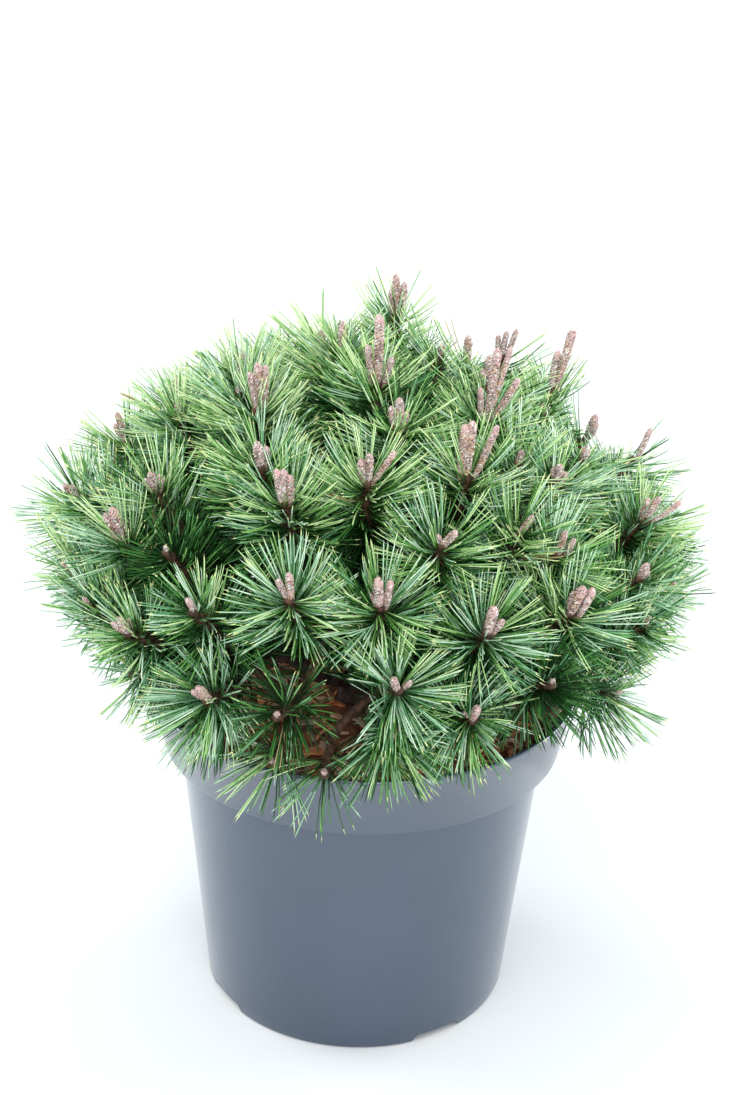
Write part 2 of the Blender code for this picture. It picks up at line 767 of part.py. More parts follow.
def candle_objects(shoot, collection):
    """The candle at a shoot's tip; a tall one has a shorter one beside it."""
    if shoot.candle < SHORTEST_CANDLE:
        return []
    parts = [(shoot.up, shoot.candle)]
    if shoot.candle >= TALL_CANDLE:
        side = sideways(shoot.up)[0]
        lean = (shoot.up + SIDE_CANDLE_LEAN * side).normalized()
        parts.append((lean, SIDE_CANDLE_SHARE * shoot.candle))
    made = []
    for number, (direction, length) in enumerate(parts):
        start = shoot.head - CANDLE_ROOT * shoot.axis
        tip = shoot.head + length * direction
        along = (tip - start).normalized()
        path = [start, start + CANDLE_SHOULDER * (tip - start).length * along, tip]
        radii = [width * CANDLE_RADIUS for width in CANDLE_WIDTHS]
        name = f"candle_{shoot.number}_{number}"
        made.append(limb(name, path, radii, CANDLE_SIDES, "needles", None, collection))
    return made


def keep_largest_body(made):
    """Drop any loose scrap that the join leaves beside the mass."""
    work = bmesh.new()
    work.from_mesh(made.data)
    unseen = set(work.verts)
    bodies = []
    while unseen:
        queue = [unseen.pop()]
        body = list(queue)
        while queue:
            vertex = queue.pop()
            for edge in vertex.link_edges:
                other = edge.other_vert(vertex)
                if other in unseen:
                    unseen.discard(other)
                    queue.append(other)
                    body.append(other)
        bodies.append(body)
    bodies.sort(key=len, reverse=True)
    for body in bodies[1:]:
        bmesh.ops.delete(work, geom=body, context="VERTS")
    work.to_mesh(made.data)
    work.free()


def make_mass(crown, mass):
    name, start, end, direction, shoots = mass
    path = [start, start + 0.5 * (end - start), end]
    radii = [BOUGH_TIP_RADIUS, 0.5 * (BOUGH_TIP_RADIUS + STEM_TIP_RADIUS), STEM_TIP_RADIUS]
    made = limb(f"needles_{name}", path, radii, BOUGH_SIDES, "needles", direction)
    group = bpy.context.scene.collection
    pieces = []
    for shoot in shoots:
        pieces.append(shoot_object(crown, shoot, group))
        pieces += candle_objects(shoot, group)
    apply_boolean(made, "UNION", pieces, "EXACT")
    keep_largest_body(made)
    return made


def main():
    clear_scene()
    make_pot()
    make_growing_medium()
    make_bark_mulch()
    make_trunk()
    boughs = plan_boughs()
    tip_directions = [make_bough(bough) for bough in boughs]
    masses = plan_masses(boughs, tip_directions)
    shoots = [shoot for mass in masses for shoot in mass[4]]
    crown = Crown(shoots)
    for mass in masses:
        make_mass(crown, mass)


main()
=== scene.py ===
"""Mugo pine in its nursery pot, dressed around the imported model.

Shoots stand where the model's own rule puts them. Each one is grown again here with
pairs of fine needles, bark, and the fingers of its candle.
"""

import json
import math
import random

import bpy
import numpy as np
from mathutils import Matrix, Vector

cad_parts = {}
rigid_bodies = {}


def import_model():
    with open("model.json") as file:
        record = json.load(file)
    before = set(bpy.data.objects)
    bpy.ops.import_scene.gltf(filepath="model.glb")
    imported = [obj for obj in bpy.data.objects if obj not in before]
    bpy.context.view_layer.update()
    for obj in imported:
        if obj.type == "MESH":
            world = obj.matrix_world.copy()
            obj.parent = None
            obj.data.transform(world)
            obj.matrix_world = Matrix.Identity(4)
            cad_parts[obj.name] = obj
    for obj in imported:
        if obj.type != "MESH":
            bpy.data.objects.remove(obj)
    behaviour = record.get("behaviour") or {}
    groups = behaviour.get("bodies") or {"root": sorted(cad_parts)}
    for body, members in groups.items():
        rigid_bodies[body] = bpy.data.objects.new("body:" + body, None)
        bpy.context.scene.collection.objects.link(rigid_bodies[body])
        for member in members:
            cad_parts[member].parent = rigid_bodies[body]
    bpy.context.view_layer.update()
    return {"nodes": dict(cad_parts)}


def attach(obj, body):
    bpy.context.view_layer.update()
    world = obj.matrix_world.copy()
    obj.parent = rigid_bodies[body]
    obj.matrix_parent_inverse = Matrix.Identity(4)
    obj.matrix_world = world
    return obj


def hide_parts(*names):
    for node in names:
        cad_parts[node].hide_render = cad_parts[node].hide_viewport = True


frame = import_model()

BODY = "root"
GAP = 0.0003

# Pot, as in the model
POT_HEIGHT = 0.2633
FOOT_RADIUS = 0.1208
SHOULDER_RADIUS = 0.1420
LIP_BOTTOM = 0.2132
LIP_BOTTOM_RADIUS = 0.1548
RIM_RADIUS = 0.1656
WALL = 0.0025
FLOOR = 0.0030
FLOOR_DISC_RADIUS = 0.0940
FOOT_RING = 0.0030
DRAIN_CHANNEL_HEIGHT = 0.0080
DRAIN_CHANNEL_SLANT = 0.0030
WALL_RISE_AT_CHANNEL = 0.0011
NOTCH_COUNT = 4
NOTCH_FIRST_AZIMUTH = 32.5
NOTCH_WIDTH = 0.046
NOTCH_SLANT = 0.006
NOTCH_HEIGHT = 0.006
NOTCH_INWARD = 0.006
NOTCH_OUTWARD = 0.010
DRAIN_HOLE_RADIUS = 0.005
DRAIN_HOLE_SIDES = 24
CUT_MARGIN = 0.002
POT_SEGMENTS = 192
POT_EDGE_ANGLE = 40

# Rounded edges of the pot: steps outwards and upwards from the edge's own radius and height
FOOT_STEPS = ((-0.0010, 0.0), (-0.0002, 0.0006), (0.0002, 0.0018))
LIP_STEPS = ((-0.0018, 0.0001), (-0.0006, 0.0005), (0.0, 0.0016))
RIM_STEPS = (
    (-0.0011, -0.0036),
    (-0.0002, -0.0028),
    (0.0, -0.0018),
    (-0.0002, -0.0008),
    (-0.0009, -0.0001),
    (-0.0016, 0.0),
    (-0.0026, -0.0003),
    (-0.0031, -0.0012),
)

# Mulch
MULCH_TOP = 0.2440
MULCH_LUMP = 0.0045
MULCH_EDGE = 0.1560
CHIP_EDGE = 0.1545
CHIP_COUNT = 900
CHIP_ROWS = 6
MULCH_ROWS = 44
MULCH_SIDES = 150
MULCH_SEED = 77
MULCH_SEAT_RADIUS = 0.028
CHIP_LENGTHS = (0.006, 0.024)
CHIP_HALF_WIDTHS = (0.0010, 0.0034)
CHIP_THICKNESSES = (0.0006, 0.0016)
CHIP_LIFTS = (0.0005, 0.0045)

# Shreds of bark: the colours of cracks and of ridges
CHIP_COLOURS = (
    ("chip_dark", (0.120, 0.050, 0.028), (0.400, 0.170, 0.090)),
    ("chip_red", (0.560, 0.190, 0.075), (0.920, 0.420, 0.180)),
    ("chip_brown", (0.400, 0.165, 0.078), (0.760, 0.370, 0.190)),
    ("chip_tan", (0.600, 0.330, 0.170), (0.900, 0.620, 0.380)),
    ("chip_grey", (0.360, 0.250, 0.190), (0.680, 0.520, 0.410)),
)

# Trunk, as in the model: height above the mulch and radius
TRUNK_STATIONS = ((0.000, 0.0215), (0.008, 0.0170), (0.026, 0.0148), (0.052, 0.0136), (0.080, 0.0118))
TRUNK_LEAN = 0.06
FLARE_LOBES = 5
FLARE_DEPTH = 0.0022
FLARE_HEIGHT = 0.012
TRUNK_ROWS = 60
TRUNK_SIDES = 40
TRUNK_RELIEF = 0.0009

# Crown and boughs, as in the model; bark is given by its relief and its grain
DOME_CENTRE = (0.003, 0.000, 0.355)
DOME_RADIUS = 0.226
DOME_RISE = 0.168
DOME_SHOULDER = 0.06
DOME_UNDERCUT = 0.28
FORK_POINT = (0.003, 0.000, 0.300)
BOUGH_TIERS = (
    ("low", -8.0, 8, 6.5, 0.018),
    ("mid", 21.0, 7, -8.0, 0.042),
    ("high", 50.0, 5, 20.0, 0.064),
)
BOUGH_STAGGER = 0.005
BOUGH_SEAT = 0.99
BOUGH_PULL = 0.38
BOUGH_REACH = 0.52
BOUGH_FOOT_RADIUS = 0.0052
BOUGH_TIP_RADIUS = 0.0040
BOUGH_STEPS = 5
BOUGH_SIDES = 12
BOUGH_BARK = (0.10, 0.0035)
BOUGH_FINE_STEPS = 36
TOP_BOUGH_AZIMUTH = 40.0
TOP_BOUGH_ELEVATION = 88.0
TOP_BOUGH_REACH = 0.40
STEM_LENGTH = 0.024
STEM_TIP_RADIUS = 0.0032
STEM_STEPS = 8
STEM_SIDES = 10
STEM_BARK = (0.12, 0.0030)
TWIG_RADIUS = 0.0029
TWIG_SWELL = (1.05, 1.15, 1.05)
TWIG_SIDES = 8
TWIG_BARK = (0.18, 0.0022)
TWIG_STEPS = 9
TWIG_PULL = 0.35
FIRST_TWIG = 0.45
TWIG_SPAN = 0.45
CORE_LENGTH = 0.030
SHOOT_LIFT = 0.45
SHOOT_LIFT_WITH_RISE = 0.35
LEAST_SHOOT_LIFT = 0.05
CANDLE_LIFT = 0.9

# Front shoots, as in the model: elevation, then azimuth, candle in mm and how far proud in mm
FRONT_SHOOTS = (
    (77, ((1, 49), (166, 30, 20), (112, 6))),
    (71, ((-145, 8),)),
    (62, ((-76, 9), (-55, 26), (50, 53), (120, 19, 12))),
    (50, ((-34, 16), (-2, 21), (28, 35), (46, 11), (112, 44, 10))),
    (43, ((-22, 23), (55, 10), (74, 7))),
    (35, ((-60, 12), (15, 12), (34, 15))),
    (28, ((-103, 19, 5), (41, 15), (101, 21, 10))),
    (22, ((-59, 18), (-15, 16), (2, 22), (78, 18))),
    (15, ((-91, 13, 8), (-33, 8), (21, 19), (39, 25), (61, 10))),
    (4, ((-47, 17), (5, 10), (59, 6))),
    (-7, ((-30, 15), (-16, 3), (19, 16))),
    (-15, ((55, 0, 12),)),
    (-31, ((-21, 3, 15), (-9, 6, 18), (4, 3))),
)
SHOOT_SPACING = 0.0485
LOWEST_SHOOT = -20.0
FILL_TRIES = 4000
FILL_SEED = 11
FILL_CANDLE = 0.010
FILL_CANDLE_WITH_RISE = 0.016
SHORTEST_FILL_SHARE = 0.2
WINDOW_AZIMUTH = -15.0
WINDOW_ELEVATION = -6.0
WINDOW_RADIUS = 0.058

# Needles: pairs on the young wood behind a head, fewer on the old wood further back
YOUNG_PAIRS = 152
FIRST_PAIR = 0.003
YOUNG_WOOD = 0.050
OLD_PAIRS = 46
OLD_WOOD = 0.110
NEEDLE_LENGTH = 0.0515
NEEDLE_LENGTHS = (0.86, 1.05)
HEAD_SPAN = 0.010
LENGTH_AT_HEAD = 0.86
NEEDLE_ROOT = 0.0024
NEEDLE_HALF_WIDTH = 0.00059
NEEDLE_THICKNESS = 0.00074
NEEDLE_TIP = 0.90
NEEDLE_SWELL = (0.80, 1.0, 0.80)
NEEDLE_MIDDLE = (0.20, 0.62)
SHORTEST_NEEDLE = 0.45
SHEATH_LENGTH = 0.0050
SHEATH_RADIUS = 0.0011
PAIR_GAP = 0.0002
PAIR_SPREAD = (1.0, 5.0)
PAIR_LENGTHS = (0.93, 1.03)
DARKER_PARTNERS = 0.25
GOLDEN_TURN = 2.39996
TURN_SPREAD = 0.3
NEEDLE_SEED = 4000
POT_MARGIN = 0.0012

# Lean of the needles from their twig in degrees, by the distance back from the head
LEAN_PLACES = (0.003, 0.010, 0.026, 0.050, 0.100)
LEAN_DEGREES = (37.0, 53.0, 70.0, 84.0, 88.0)
LEAN_SPREAD = 7.0
LEAN_WITH_RISE = 9.0
LEAN_WITH_RISE_UNTIL = 0.030

# Sprays: needles of one sector and band share a lean and a colour
SECTORS = 7
BAND = 0.013
SPRAY_SPREAD = 0.10

# Bend of the needles: towards their shoot's tip, upwards, at random and within a pair
BEND_FORWARD = 0.14
BEND_UP = 0.03
BEND_UP_LOW_SIDE = 0.16
BEND_SPREAD = 0.07
PAIR_BEND = 0.02

# Inner needles, on the outer part of each bough
BOUGH_PAIRS = 56
BOUGH_NEEDLED = 0.70
BOUGH_LINE_STEPS = 24
BOUGH_NEEDLE_ROOT = 0.004
BOUGH_NEEDLE_LEAN = 66.0
BOUGH_LEAN_SPREAD = 10.0
BOUGH_NEEDLE_LENGTHS = (0.80, 1.0)
BOUGH_SEED = NEEDLE_SEED + 500

# Stations along a needle where it is tested against the pot, the openings and the candles
FREE_STATIONS = (1.0, 0.85, 0.7, 0.55, 0.4, 0.2, 0.0)
CROSSING_STATIONS = (0.25, 0.4, 0.55, 0.7, 0.85, 1.0)
STATION_MARGIN = 0.15

# Openings, along lines of sight from where the photograph was taken: a place, the opening's
# radius, how far it reaches beyond the place, and how far from its line the needles are shaded
VIEWPOINT = np.array((-0.00155, -1.26978, 0.91599))
OPENINGS = (
    ((-0.035, -0.034, 0.245), 0.046, 0.02, 0.0),
    ((-0.072, 0.008, 0.245), 0.031, 0.02, 0.0),
    ((0.114, -0.079, 0.245), 0.014, 0.02, 0.0),
    ((0.133, -0.022, 0.245), 0.014, 0.02, 0.0),
    ((-0.1243, -0.1273, 0.4419), 0.016, 0.05, 0.030),
    ((-0.0949, -0.1566, 0.4375), 0.009, 0.05, 0.018),
    ((-0.1600, -0.1350, 0.4045), 0.010, 0.04, 0.022),
    ((0.1810, -0.0986, 0.4161), 0.009, 0.04, 0.022),
    ((-0.0066, -0.0782, 0.5076), 0.007, 0.03, 0.020),
    ((0.0228, -0.0691, 0.5102), 0.005, 0.03, 0.018),
    ((-0.0065, -0.1821, 0.4397), 0.008, 0.04, 0.020),
    ((0.0596, -0.1475, 0.4607), 0.005, 0.03, 0.016),
    ((-0.1780, -0.0222, 0.4397), 0.005, 0.03, 0.018),
    ((0.1415, -0.1291, 0.3010), 0.008, 0.05, 0.016),
    ((0.091, 0.054, 0.549), 0.070, 0.60, 0.0),
    ((0.185, 0.022, 0.482), 0.052, 0.60, 0.0),
    ((-0.239, -0.073, 0.284), 0.060, 0.60, 0.0),
    ((-0.274, -0.063, 0.333), 0.050, 0.60, 0.0),
    ((0.234, -0.073, 0.292), 0.032, 0.60, 0.0),
    ((0.262, -0.058, 0.339), 0.032, 0.60, 0.0),
    ((-0.025, 0.055, 0.548), 0.020, 0.60, 0.0),
)
OPENING_EDGE = (0.55, 1.12)
SHADE_DEPTH = 0.60
SHADE_BEYOND = 0.03
SHADE_STATION = 0.6

# Shoots that are weaker or painted darker as shade, by number: length, share of needles and how much
# painted shade they get
WEAK_SHOOTS = {
    37: (0.88, 0.34, 0.62),
    29: (0.80, 0.75, 0.42),
    64: (0.80, 0.65, 0.75),
    44: (0.95, 0.80, 0.40),
    73: (1.00, 1.00, 0.40),
    75: (1.00, 1.00, 0.22),
}
STRONG_SHOOTS = {28: 1.15, 25: 1.12, 42: 1.10}

# Shoots low at the sides and the back have shorter needles that curve up
LOW_SIDE_LENGTH = 0.88
LOW_SIDE_RISE = 0.35
LOW_SIDE_FRONT = -0.12

# Needles keep clear of each candle, and leave each front candle in sight from the viewpoint
CANDLE_CLEARANCE = 0.0042
CLEAR_FROM = 0.004
SHORTEST_SEEN_CANDLE = 0.008
SEEN_SHARES = (0.45, 0.9)
SIGHT_LENGTH = 0.055
SIGHT_RADIUS = 0.0038

# Camera and stage
CAMERA_LENS = 60.334
CAMERA_PITCH = 0.40677
CAMERA_ROLL = -0.028716
FLOOR_REACH = 9.0
FLOOR_GAP = 0.0004
LIT_PLACE = (0.0, 0.0, 0.30)

# Needle colours (linear): warm greens from the palest to the darkest, lit and shaded copies of one green
# that carry painted light and shade, then the cool pendants of the four palest, then the kinds that
# stand apart
NEEDLE_TINTS = (
    ("needle_pale", (0.590, 0.780, 0.410)),
    ("needle_sunlit", (0.425, 0.650, 0.285)),
    ("needle_half_lit", (0.265, 0.510, 0.158)),
    ("needle_leaf", (0.147, 0.364, 0.084)),
    ("needle_deep", (0.066, 0.220, 0.046)),
    ("needle_dusk", (0.026, 0.111, 0.023)),
    ("needle_shade", (0.010, 0.048, 0.010)),
    ("cool_pale", (0.585, 0.775, 0.590)),
    ("cool_sunlit", (0.415, 0.630, 0.440)),
    ("cool_half_lit", (0.250, 0.480, 0.275)),
    ("cool_leaf", (0.132, 0.337, 0.160)),
    ("needle_tip", (0.660, 0.740, 0.330)),
    ("needle_straw", (0.420, 0.350, 0.170)),
    ("needle_sheath", (0.110, 0.050, 0.028)),
)
COOL_KINDS = 4
SHADE_TINT = 6
FIRST_COOL = 7
TIP_TINT = 11
STRAW_TINT = 12
SHEATH_TINT = 13
TINT_STEPS = (1.25, 1.00, 0.75, 0.48, 0.20, -0.08)

# How light a needle is painted, as painted light and shade: upward, outward and high needles are
# lighter, and those near the head
LIGHT_BASE = 0.33
LIGHT_UPWARD = 0.38
LIGHT_OUTWARD = 0.26
LIGHT_WITH_RISE = 0.12
LIGHT_NEAR_HEAD = 0.66
LIGHT_PLACES = (0.0, 0.028, 0.050, 0.100)
LIGHT_SHARES = (1.0, 0.72, 0.25, -0.5)
SPRAY_LIGHT_SPREAD = 0.26
NEEDLE_LIGHT_SPREAD = 0.25

# Shares of the kinds of needle; cool ones dealt at random, from the lowest shoots to those at this rise,
# more of them low down as a painted cool reflection; pale tips are the needles' own, partly also a
# painted highlight on lit needles
COOL_SHARES = (0.70, 0.24)
COOL_UNTIL_RISE = 0.9
ODD_SHARE = 0.12
TIP_SHARE = 0.36
STRAW_SHARE = 0.003
INNER_STRAW_SHARE = 0.02
INNER_SHADE_SHARE = 0.6

# Candle colours (linear)
CANDLE_TINTS = (
    ("candle_rose", (0.520, 0.325, 0.315)),
    ("candle_mauve", (0.190, 0.140, 0.146)),
    ("candle_ash", (0.420, 0.365, 0.340)),
    ("candle_resin", (0.740, 0.700, 0.670)),
    ("candle_tan", (0.520, 0.360, 0.240)),
    ("candle_rust", (0.220, 0.125, 0.080)),
)
ROSE, MAUVE, ASH, RESIN, TAN, RUST = range(6)
FINGER_SIDES = 12
FINGER_ROW = 0.0012
SCALE_RELIEF = 0.14
CANDLE_ROOT = 0.004
CANDLE_SEED = 9000
LONG_FINGER = 0.026
FINGER_FOOT = 0.006
WEAK_CANDLE = 0.002
LEAST_CANDLE = 0.005

# Fingers of the front candles, by the shoot's place in the table above: how far to the right the
# finger stands in mm, its lean to the right in degrees, its length and its radius in mm
CANDLE_FINGERS = {
    0: ((0, 0, 50, 3.2), (-5, -8, 28, 2.3), (6, 14, 20, 2.3)),
    1: ((0, -2, 31, 2.7), (-4, -4, 19, 2.5), (5, 4, 25, 2.7)),
    4: ((0, 0, 5, 2.0),),
    5: ((4, 2, 36, 2.9), (0, -4, 28, 2.4), (8, 6, 34, 2.3)),
    6: ((0, 0, 53, 3.0), (-6, -8, 24, 2.2), (4, 22, 36, 2.4), (1, 8, 55, 1.9)),
    7: ((0, 4, 19, 2.2), (-3, -8, 16, 2.0), (5, 12, 22, 2.0)),
    8: ((-1, 0, 20, 3.5), (3, 10, 14, 2.6)),
    9: ((-3, -6, 17, 3.2), (1, 2, 22, 2.8), (5, 30, 27, 2.1)),
    10: ((-8, -3, 38, 3.1), (-3, -1, 40, 3.1), (5, 14, 40, 2.3)),
    11: ((0, 6, 11, 2.6),),
    12: ((5, 2, 46, 2.4), (0, -1, 28, 2.9), (6, 5, 46, 1.8)),
    13: ((-4, -3, 26, 2.5), (0, 0, 24, 3.2), (4, 4, 21, 2.8)),
    16: ((0, 0, 15, 3.1), (-3, -14, 11, 2.5), (3, 18, 12, 2.6)),
    17: ((0, 30, 15, 2.9), (-2, -8, 7, 2.2)),
    18: ((0, 18, 17, 2.4),),
    19: ((2, 0, 24, 2.6), (-1, -10, 16, 2.0)),
    20: ((0, -2, 20, 2.4), (8, 4, 15, 2.2)),
    21: ((6, 2, 26, 2.2),),
    22: ((3, 1, 26, 3.9), (-5, -1, 22, 2.8)),
    23: ((1, 2, 22, 2.6), (-2, -14, 18, 2.2)),
    24: ((-2, -4, 24, 3.2), (-4, -14, 11, 2.4), (4, 5, 24, 2.3), (4, 2, 12, 2.4)),
    25: ((-4, -8, 16, 2.4), (0, 4, 20, 2.8), (6, 26, 26, 2.1)),
    26: ((0, -10, 16, 2.7), (3, 0, 13, 2.2)),
    27: ((1, -8, 12, 2.4),),
    28: ((0, -2, 24, 3.4), (5, 10, 16, 2.4)),
    29: ((-2, -1, 26, 3.5), (-5, -4, 17, 2.5), (7, 2, 24, 3.2)),
    31: ((0, 0, 16, 2.8), (-2, -20, 13, 2.4), (2, 18, 13, 2.4)),
    32: ((-1, -12, 15, 2.6), (4, 30, 8, 2.1)),
    34: ((1, -2, 17, 3.3), (-4, -16, 11, 2.4)),
    36: ((0, -6, 19, 3.0), (-4, -30, 7, 1.6)),
}


def unit(vectors):
    return vectors / np.maximum(np.linalg.norm(vectors, axis=-1, keepdims=True), 1e-12)


def square_to(vectors, directions):
    """Part of each vector that is square to its direction."""
    return vectors - directions * np.sum(vectors * directions, axis=-1, keepdims=True)


def value_noise(points, scale, seed):
    """Smooth noise from -1 to 1 at each point, the same on every run."""
    spot = points / scale + seed * 17.31
    cell = np.floor(spot).astype(np.int64)
    part = spot - cell
    part = part * part * (3.0 - 2.0 * part)
    total = np.zeros(len(points))
    for corner in range(8):
        step = np.array([(corner >> axis) & 1 for axis in range(3)])
        weight = np.prod(np.where(step == 1, part, 1.0 - part), axis=1)
        key = (cell + step) @ np.array([7385, 19349, 8349])
        lattice = np.sin((key % 65521) * 12.9898) * 43758.5453
        total += weight * (2.0 * (lattice - np.floor(lattice)) - 1.0)
    return total


class Batch:
    """Many small closed forms gathered into one mesh, each face with its material's number."""

    def __init__(self):
        self.points = []
        self.triangles = []
        self.tints = []
        self.count = 0

    def add(self, points, triangles, tints):
        self.points.append(points)
        self.triangles.append(triangles + self.count)
        self.tints.append(np.broadcast_to(tints, len(triangles)))
        self.count += len(points)

    def build(self, name, materials, nodes=(), smooth=False):
        mesh = bpy.data.meshes.new(name)
        mesh.from_pydata(np.concatenate(self.points), [], np.concatenate(self.triangles))
        for finish in materials:
            mesh.materials.append(finish)
        mesh.polygons.foreach_set("material_index", np.concatenate(self.tints).astype(np.int32))
        mesh.polygons.foreach_set("use_smooth", np.full(len(mesh.polygons), smooth))
        mesh.update()
        made = bpy.data.objects.new(name, mesh)
        return dress(made, nodes)


def dress(made, nodes=()):
    """Place a piece in the scene, on the body, and hide the nodes it stands for."""
    if not made.users_collection:
        bpy.context.scene.collection.objects.link(made)
    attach(made, BODY)
    if nodes:
        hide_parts(*nodes)
    return made


# Layout of the crown, by the model's rule
def on_dome(azimuth, elevation, proud=0.0):
    turn = math.radians(azimuth)
    rise = math.radians(elevation)
    if rise > 0.0:
        width = 1.0 - DOME_SHOULDER * math.sin(2.0 * rise) ** 2
    else:
        width = 1.0 + DOME_UNDERCUT * rise
    out = DOME_RADIUS * math.cos(rise)
    offset = Vector((out * math.sin(turn), -out * math.cos(turn), DOME_RISE * math.sin(rise)))
    return Vector(DOME_CENTRE) + width * offset + proud * offset.normalized()


def dome_normal(point):
    offset = point - Vector(DOME_CENTRE)
    width = DOME_RADIUS**2
    return Vector((offset.x / width, offset.y / width, offset.z / DOME_RISE**2)).normalized()


def plan_shoots():
    """Each shoot's head, candle length and place in the table, or None where it fills the dome."""
    heads = []
    for elevation, row in FRONT_SHOOTS:
        for azimuth, candle, *proud in row:
            head = on_dome(azimuth, elevation, sum(proud) / 1000.0)
            heads.append((head, candle / 1000.0, len(heads)))
    window = on_dome(WINDOW_AZIMUTH, WINDOW_ELEVATION)
    chooser = random.Random(FILL_SEED)
    lowest = math.sin(math.radians(LOWEST_SHOOT))
    for _ in range(FILL_TRIES):
        azimuth = chooser.uniform(-180.0, 180.0)
        elevation = math.degrees(math.asin(chooser.uniform(lowest, 1.0)))
        share = chooser.uniform(SHORTEST_FILL_SHARE, 1.0)
        point = on_dome(azimuth, elevation)
        if (point - window).length < WINDOW_RADIUS:
            continue
        if min((point - head).length for head, candle, place in heads) < SHOOT_SPACING:
            continue
        rise = max(0.0, math.sin(math.radians(elevation)))
        candle = (FILL_CANDLE + FILL_CANDLE_WITH_RISE * rise) * share
        heads.append((point, candle, None))
    return heads


def plan_boughs():
    """Each bough: name, tip, direction at its tip, height on the trunk and azimuth."""
    fork = Vector(FORK_POINT)
    boughs = []
    for tier, elevation, count, first_azimuth, height in BOUGH_TIERS:
        for number in range(count):
            azimuth = first_azimuth + number * 360.0 / count
            target = on_dome(azimuth, elevation)
            stagger = BOUGH_STAGGER if number % 2 else -BOUGH_STAGGER
            tip = fork + BOUGH_REACH * (target - fork)
            direction = (target - fork).normalized()
            boughs.append((f"{tier}_{number + 1}", tip, direction, height + stagger, azimuth))
    target = on_dome(TOP_BOUGH_AZIMUTH, TOP_BOUGH_ELEVATION)
    tip = fork + TOP_BOUGH_REACH * (target - fork)
    boughs.append(("top", tip, (target - fork).normalized(), None, 0.0))
    return boughs


def bezier(start, start_pull, end_pull, end, steps):
    points = []
    for step in range(steps + 1):
        t = step / steps
        s = 1.0 - t
        points.append(s**3 * start + 3 * s * s * t * start_pull + 3 * s * t * t * end_pull + t**3 * end)
    return points


def trunk_centre(height):
    return Vector((TRUNK_LEAN * height, 0.0, MULCH_TOP + GAP + height))


def trunk_radius(height):
    heights = [station[0] for station in TRUNK_STATIONS]
    radii = [station[1] for station in TRUNK_STATIONS]
    return float(np.interp(height, heights, radii))


def bough_line(bough, steps):
    """Centre line of a bough from the trunk to its tip."""
    name, tip, direction, height, azimuth = bough
    if height is None:
        first = Vector((0.0, 0.0, 1.0))
        start = trunk_centre(TRUNK_STATIONS[-1][0]) + GAP * first
    else:
        turn = math.radians(azimuth)
        first = Vector((math.sin(turn), -math.cos(turn), 0.0))
        seat = trunk_radius(height - BOUGH_FOOT_RADIUS) * BOUGH_SEAT
        start = trunk_centre(height) + (seat + GAP) * first
    pull = BOUGH_PULL * (tip - start).length
    return bezier(start, start + pull * first, tip - pull * direction, tip, steps)


class Shoot:
    """One shoot: its centre line from the mass's stem to its head, and its candle."""

    def __init__(self, number, root, root_direction, head, candle, place):
        self.number = number
        self.head = head
        self.candle = candle
        self.place = place
        self.rise = (head.z - DOME_CENTRE[2]) / DOME_RISE
        lift = max(LEAST_SHOOT_LIFT, SHOOT_LIFT + SHOOT_LIFT_WITH_RISE * self.rise)
        self.axis = (dome_normal(head) + lift * Vector((0.0, 0.0, 1.0))).normalized()
        self.up = (self.axis + Vector((0.0, 0.0, CANDLE_LIFT))).normalized()
        core = head - CORE_LENGTH * self.axis
        reach = TWIG_PULL * (core - root).length
        line = bezier(root, root + reach * root_direction, core - reach * self.axis, core, TWIG_STEPS)
        self.line = line + [core.lerp(head, share) for share in (0.25, 0.5, 0.75, 1.0)]


def plan_masses(boughs):
    """Share the shoots out among the boughs and lay out each mass's stem and shoots."""
    fork = Vector(FORK_POINT)
    shares = [[] for _ in boughs]
    for head, candle, place in plan_shoots():
        toward = (head - fork).normalized()
        nearest = max(range(len(boughs)), key=lambda index: toward.dot(boughs[index][2]))
        shares[nearest].append((head, candle, place))
    masses = []
    number = 0
    for bough, heads in zip(boughs, shares):
        path = bough_line(bough, BOUGH_STEPS)
        direction = (path[-1] - path[-2]).normalized()
        start = bough[1] + GAP * direction
        end = start + STEM_LENGTH * direction
        shoots = []
        for order, (head, candle, place) in enumerate(heads):
            share = FIRST_TWIG + TWIG_SPAN * (order + 0.5) / len(heads)
            shoots.append(Shoot(number, start.lerp(end, share), direction, head, candle, place))
            number += 1
        masses.append((bough[0], start, end, shoots))
    return masses


def clear_of_pot(points, margins):
    """True where a point keeps its margin to the pot's rim and to the mulch."""
    radius = np.hypot(points[..., 0], points[..., 1])
    height = points[..., 2]
    above = height > POT_HEIGHT + margins
    in_front = (radius > RIM_RADIUS + margins) & (height > LIP_BOTTOM)
    inside = radius < LIP_BOTTOM_RADIUS - WALL - margins
    over_mulch = inside & (height > MULCH_TOP + MULCH_LUMP + margins)
    return above | in_front | over_mulch


# Needles
def needle_triangles():
    """Faces of one needle: its flat end, two bands of three sides, and its point.

    Beside them goes how many steps each face is darker than the needle, as painted shade: more on the
    band next to the twig and on one of the outer sides; the side towards the partner is a step paler,
    partly the pale bloom such needles have and partly a painted highlight.
    """
    faces = [(0, 2, 1)]
    darker = [2]
    for ring, band in enumerate((2, 0)):
        low = 3 * ring
        for side, step in enumerate((0, 2, -1)):
            after = (side + 1) % 3
            faces.append((low + side, low + after, low + 3 + after))
            faces.append((low + side, low + 3 + after, low + 3 + side))
            darker += 2 * [step + band]
    for side in range(3):
        faces.append((6 + side, 6 + (side + 1) % 3, 9))
        darker.append(0)
    return np.array(faces), np.array(darker)


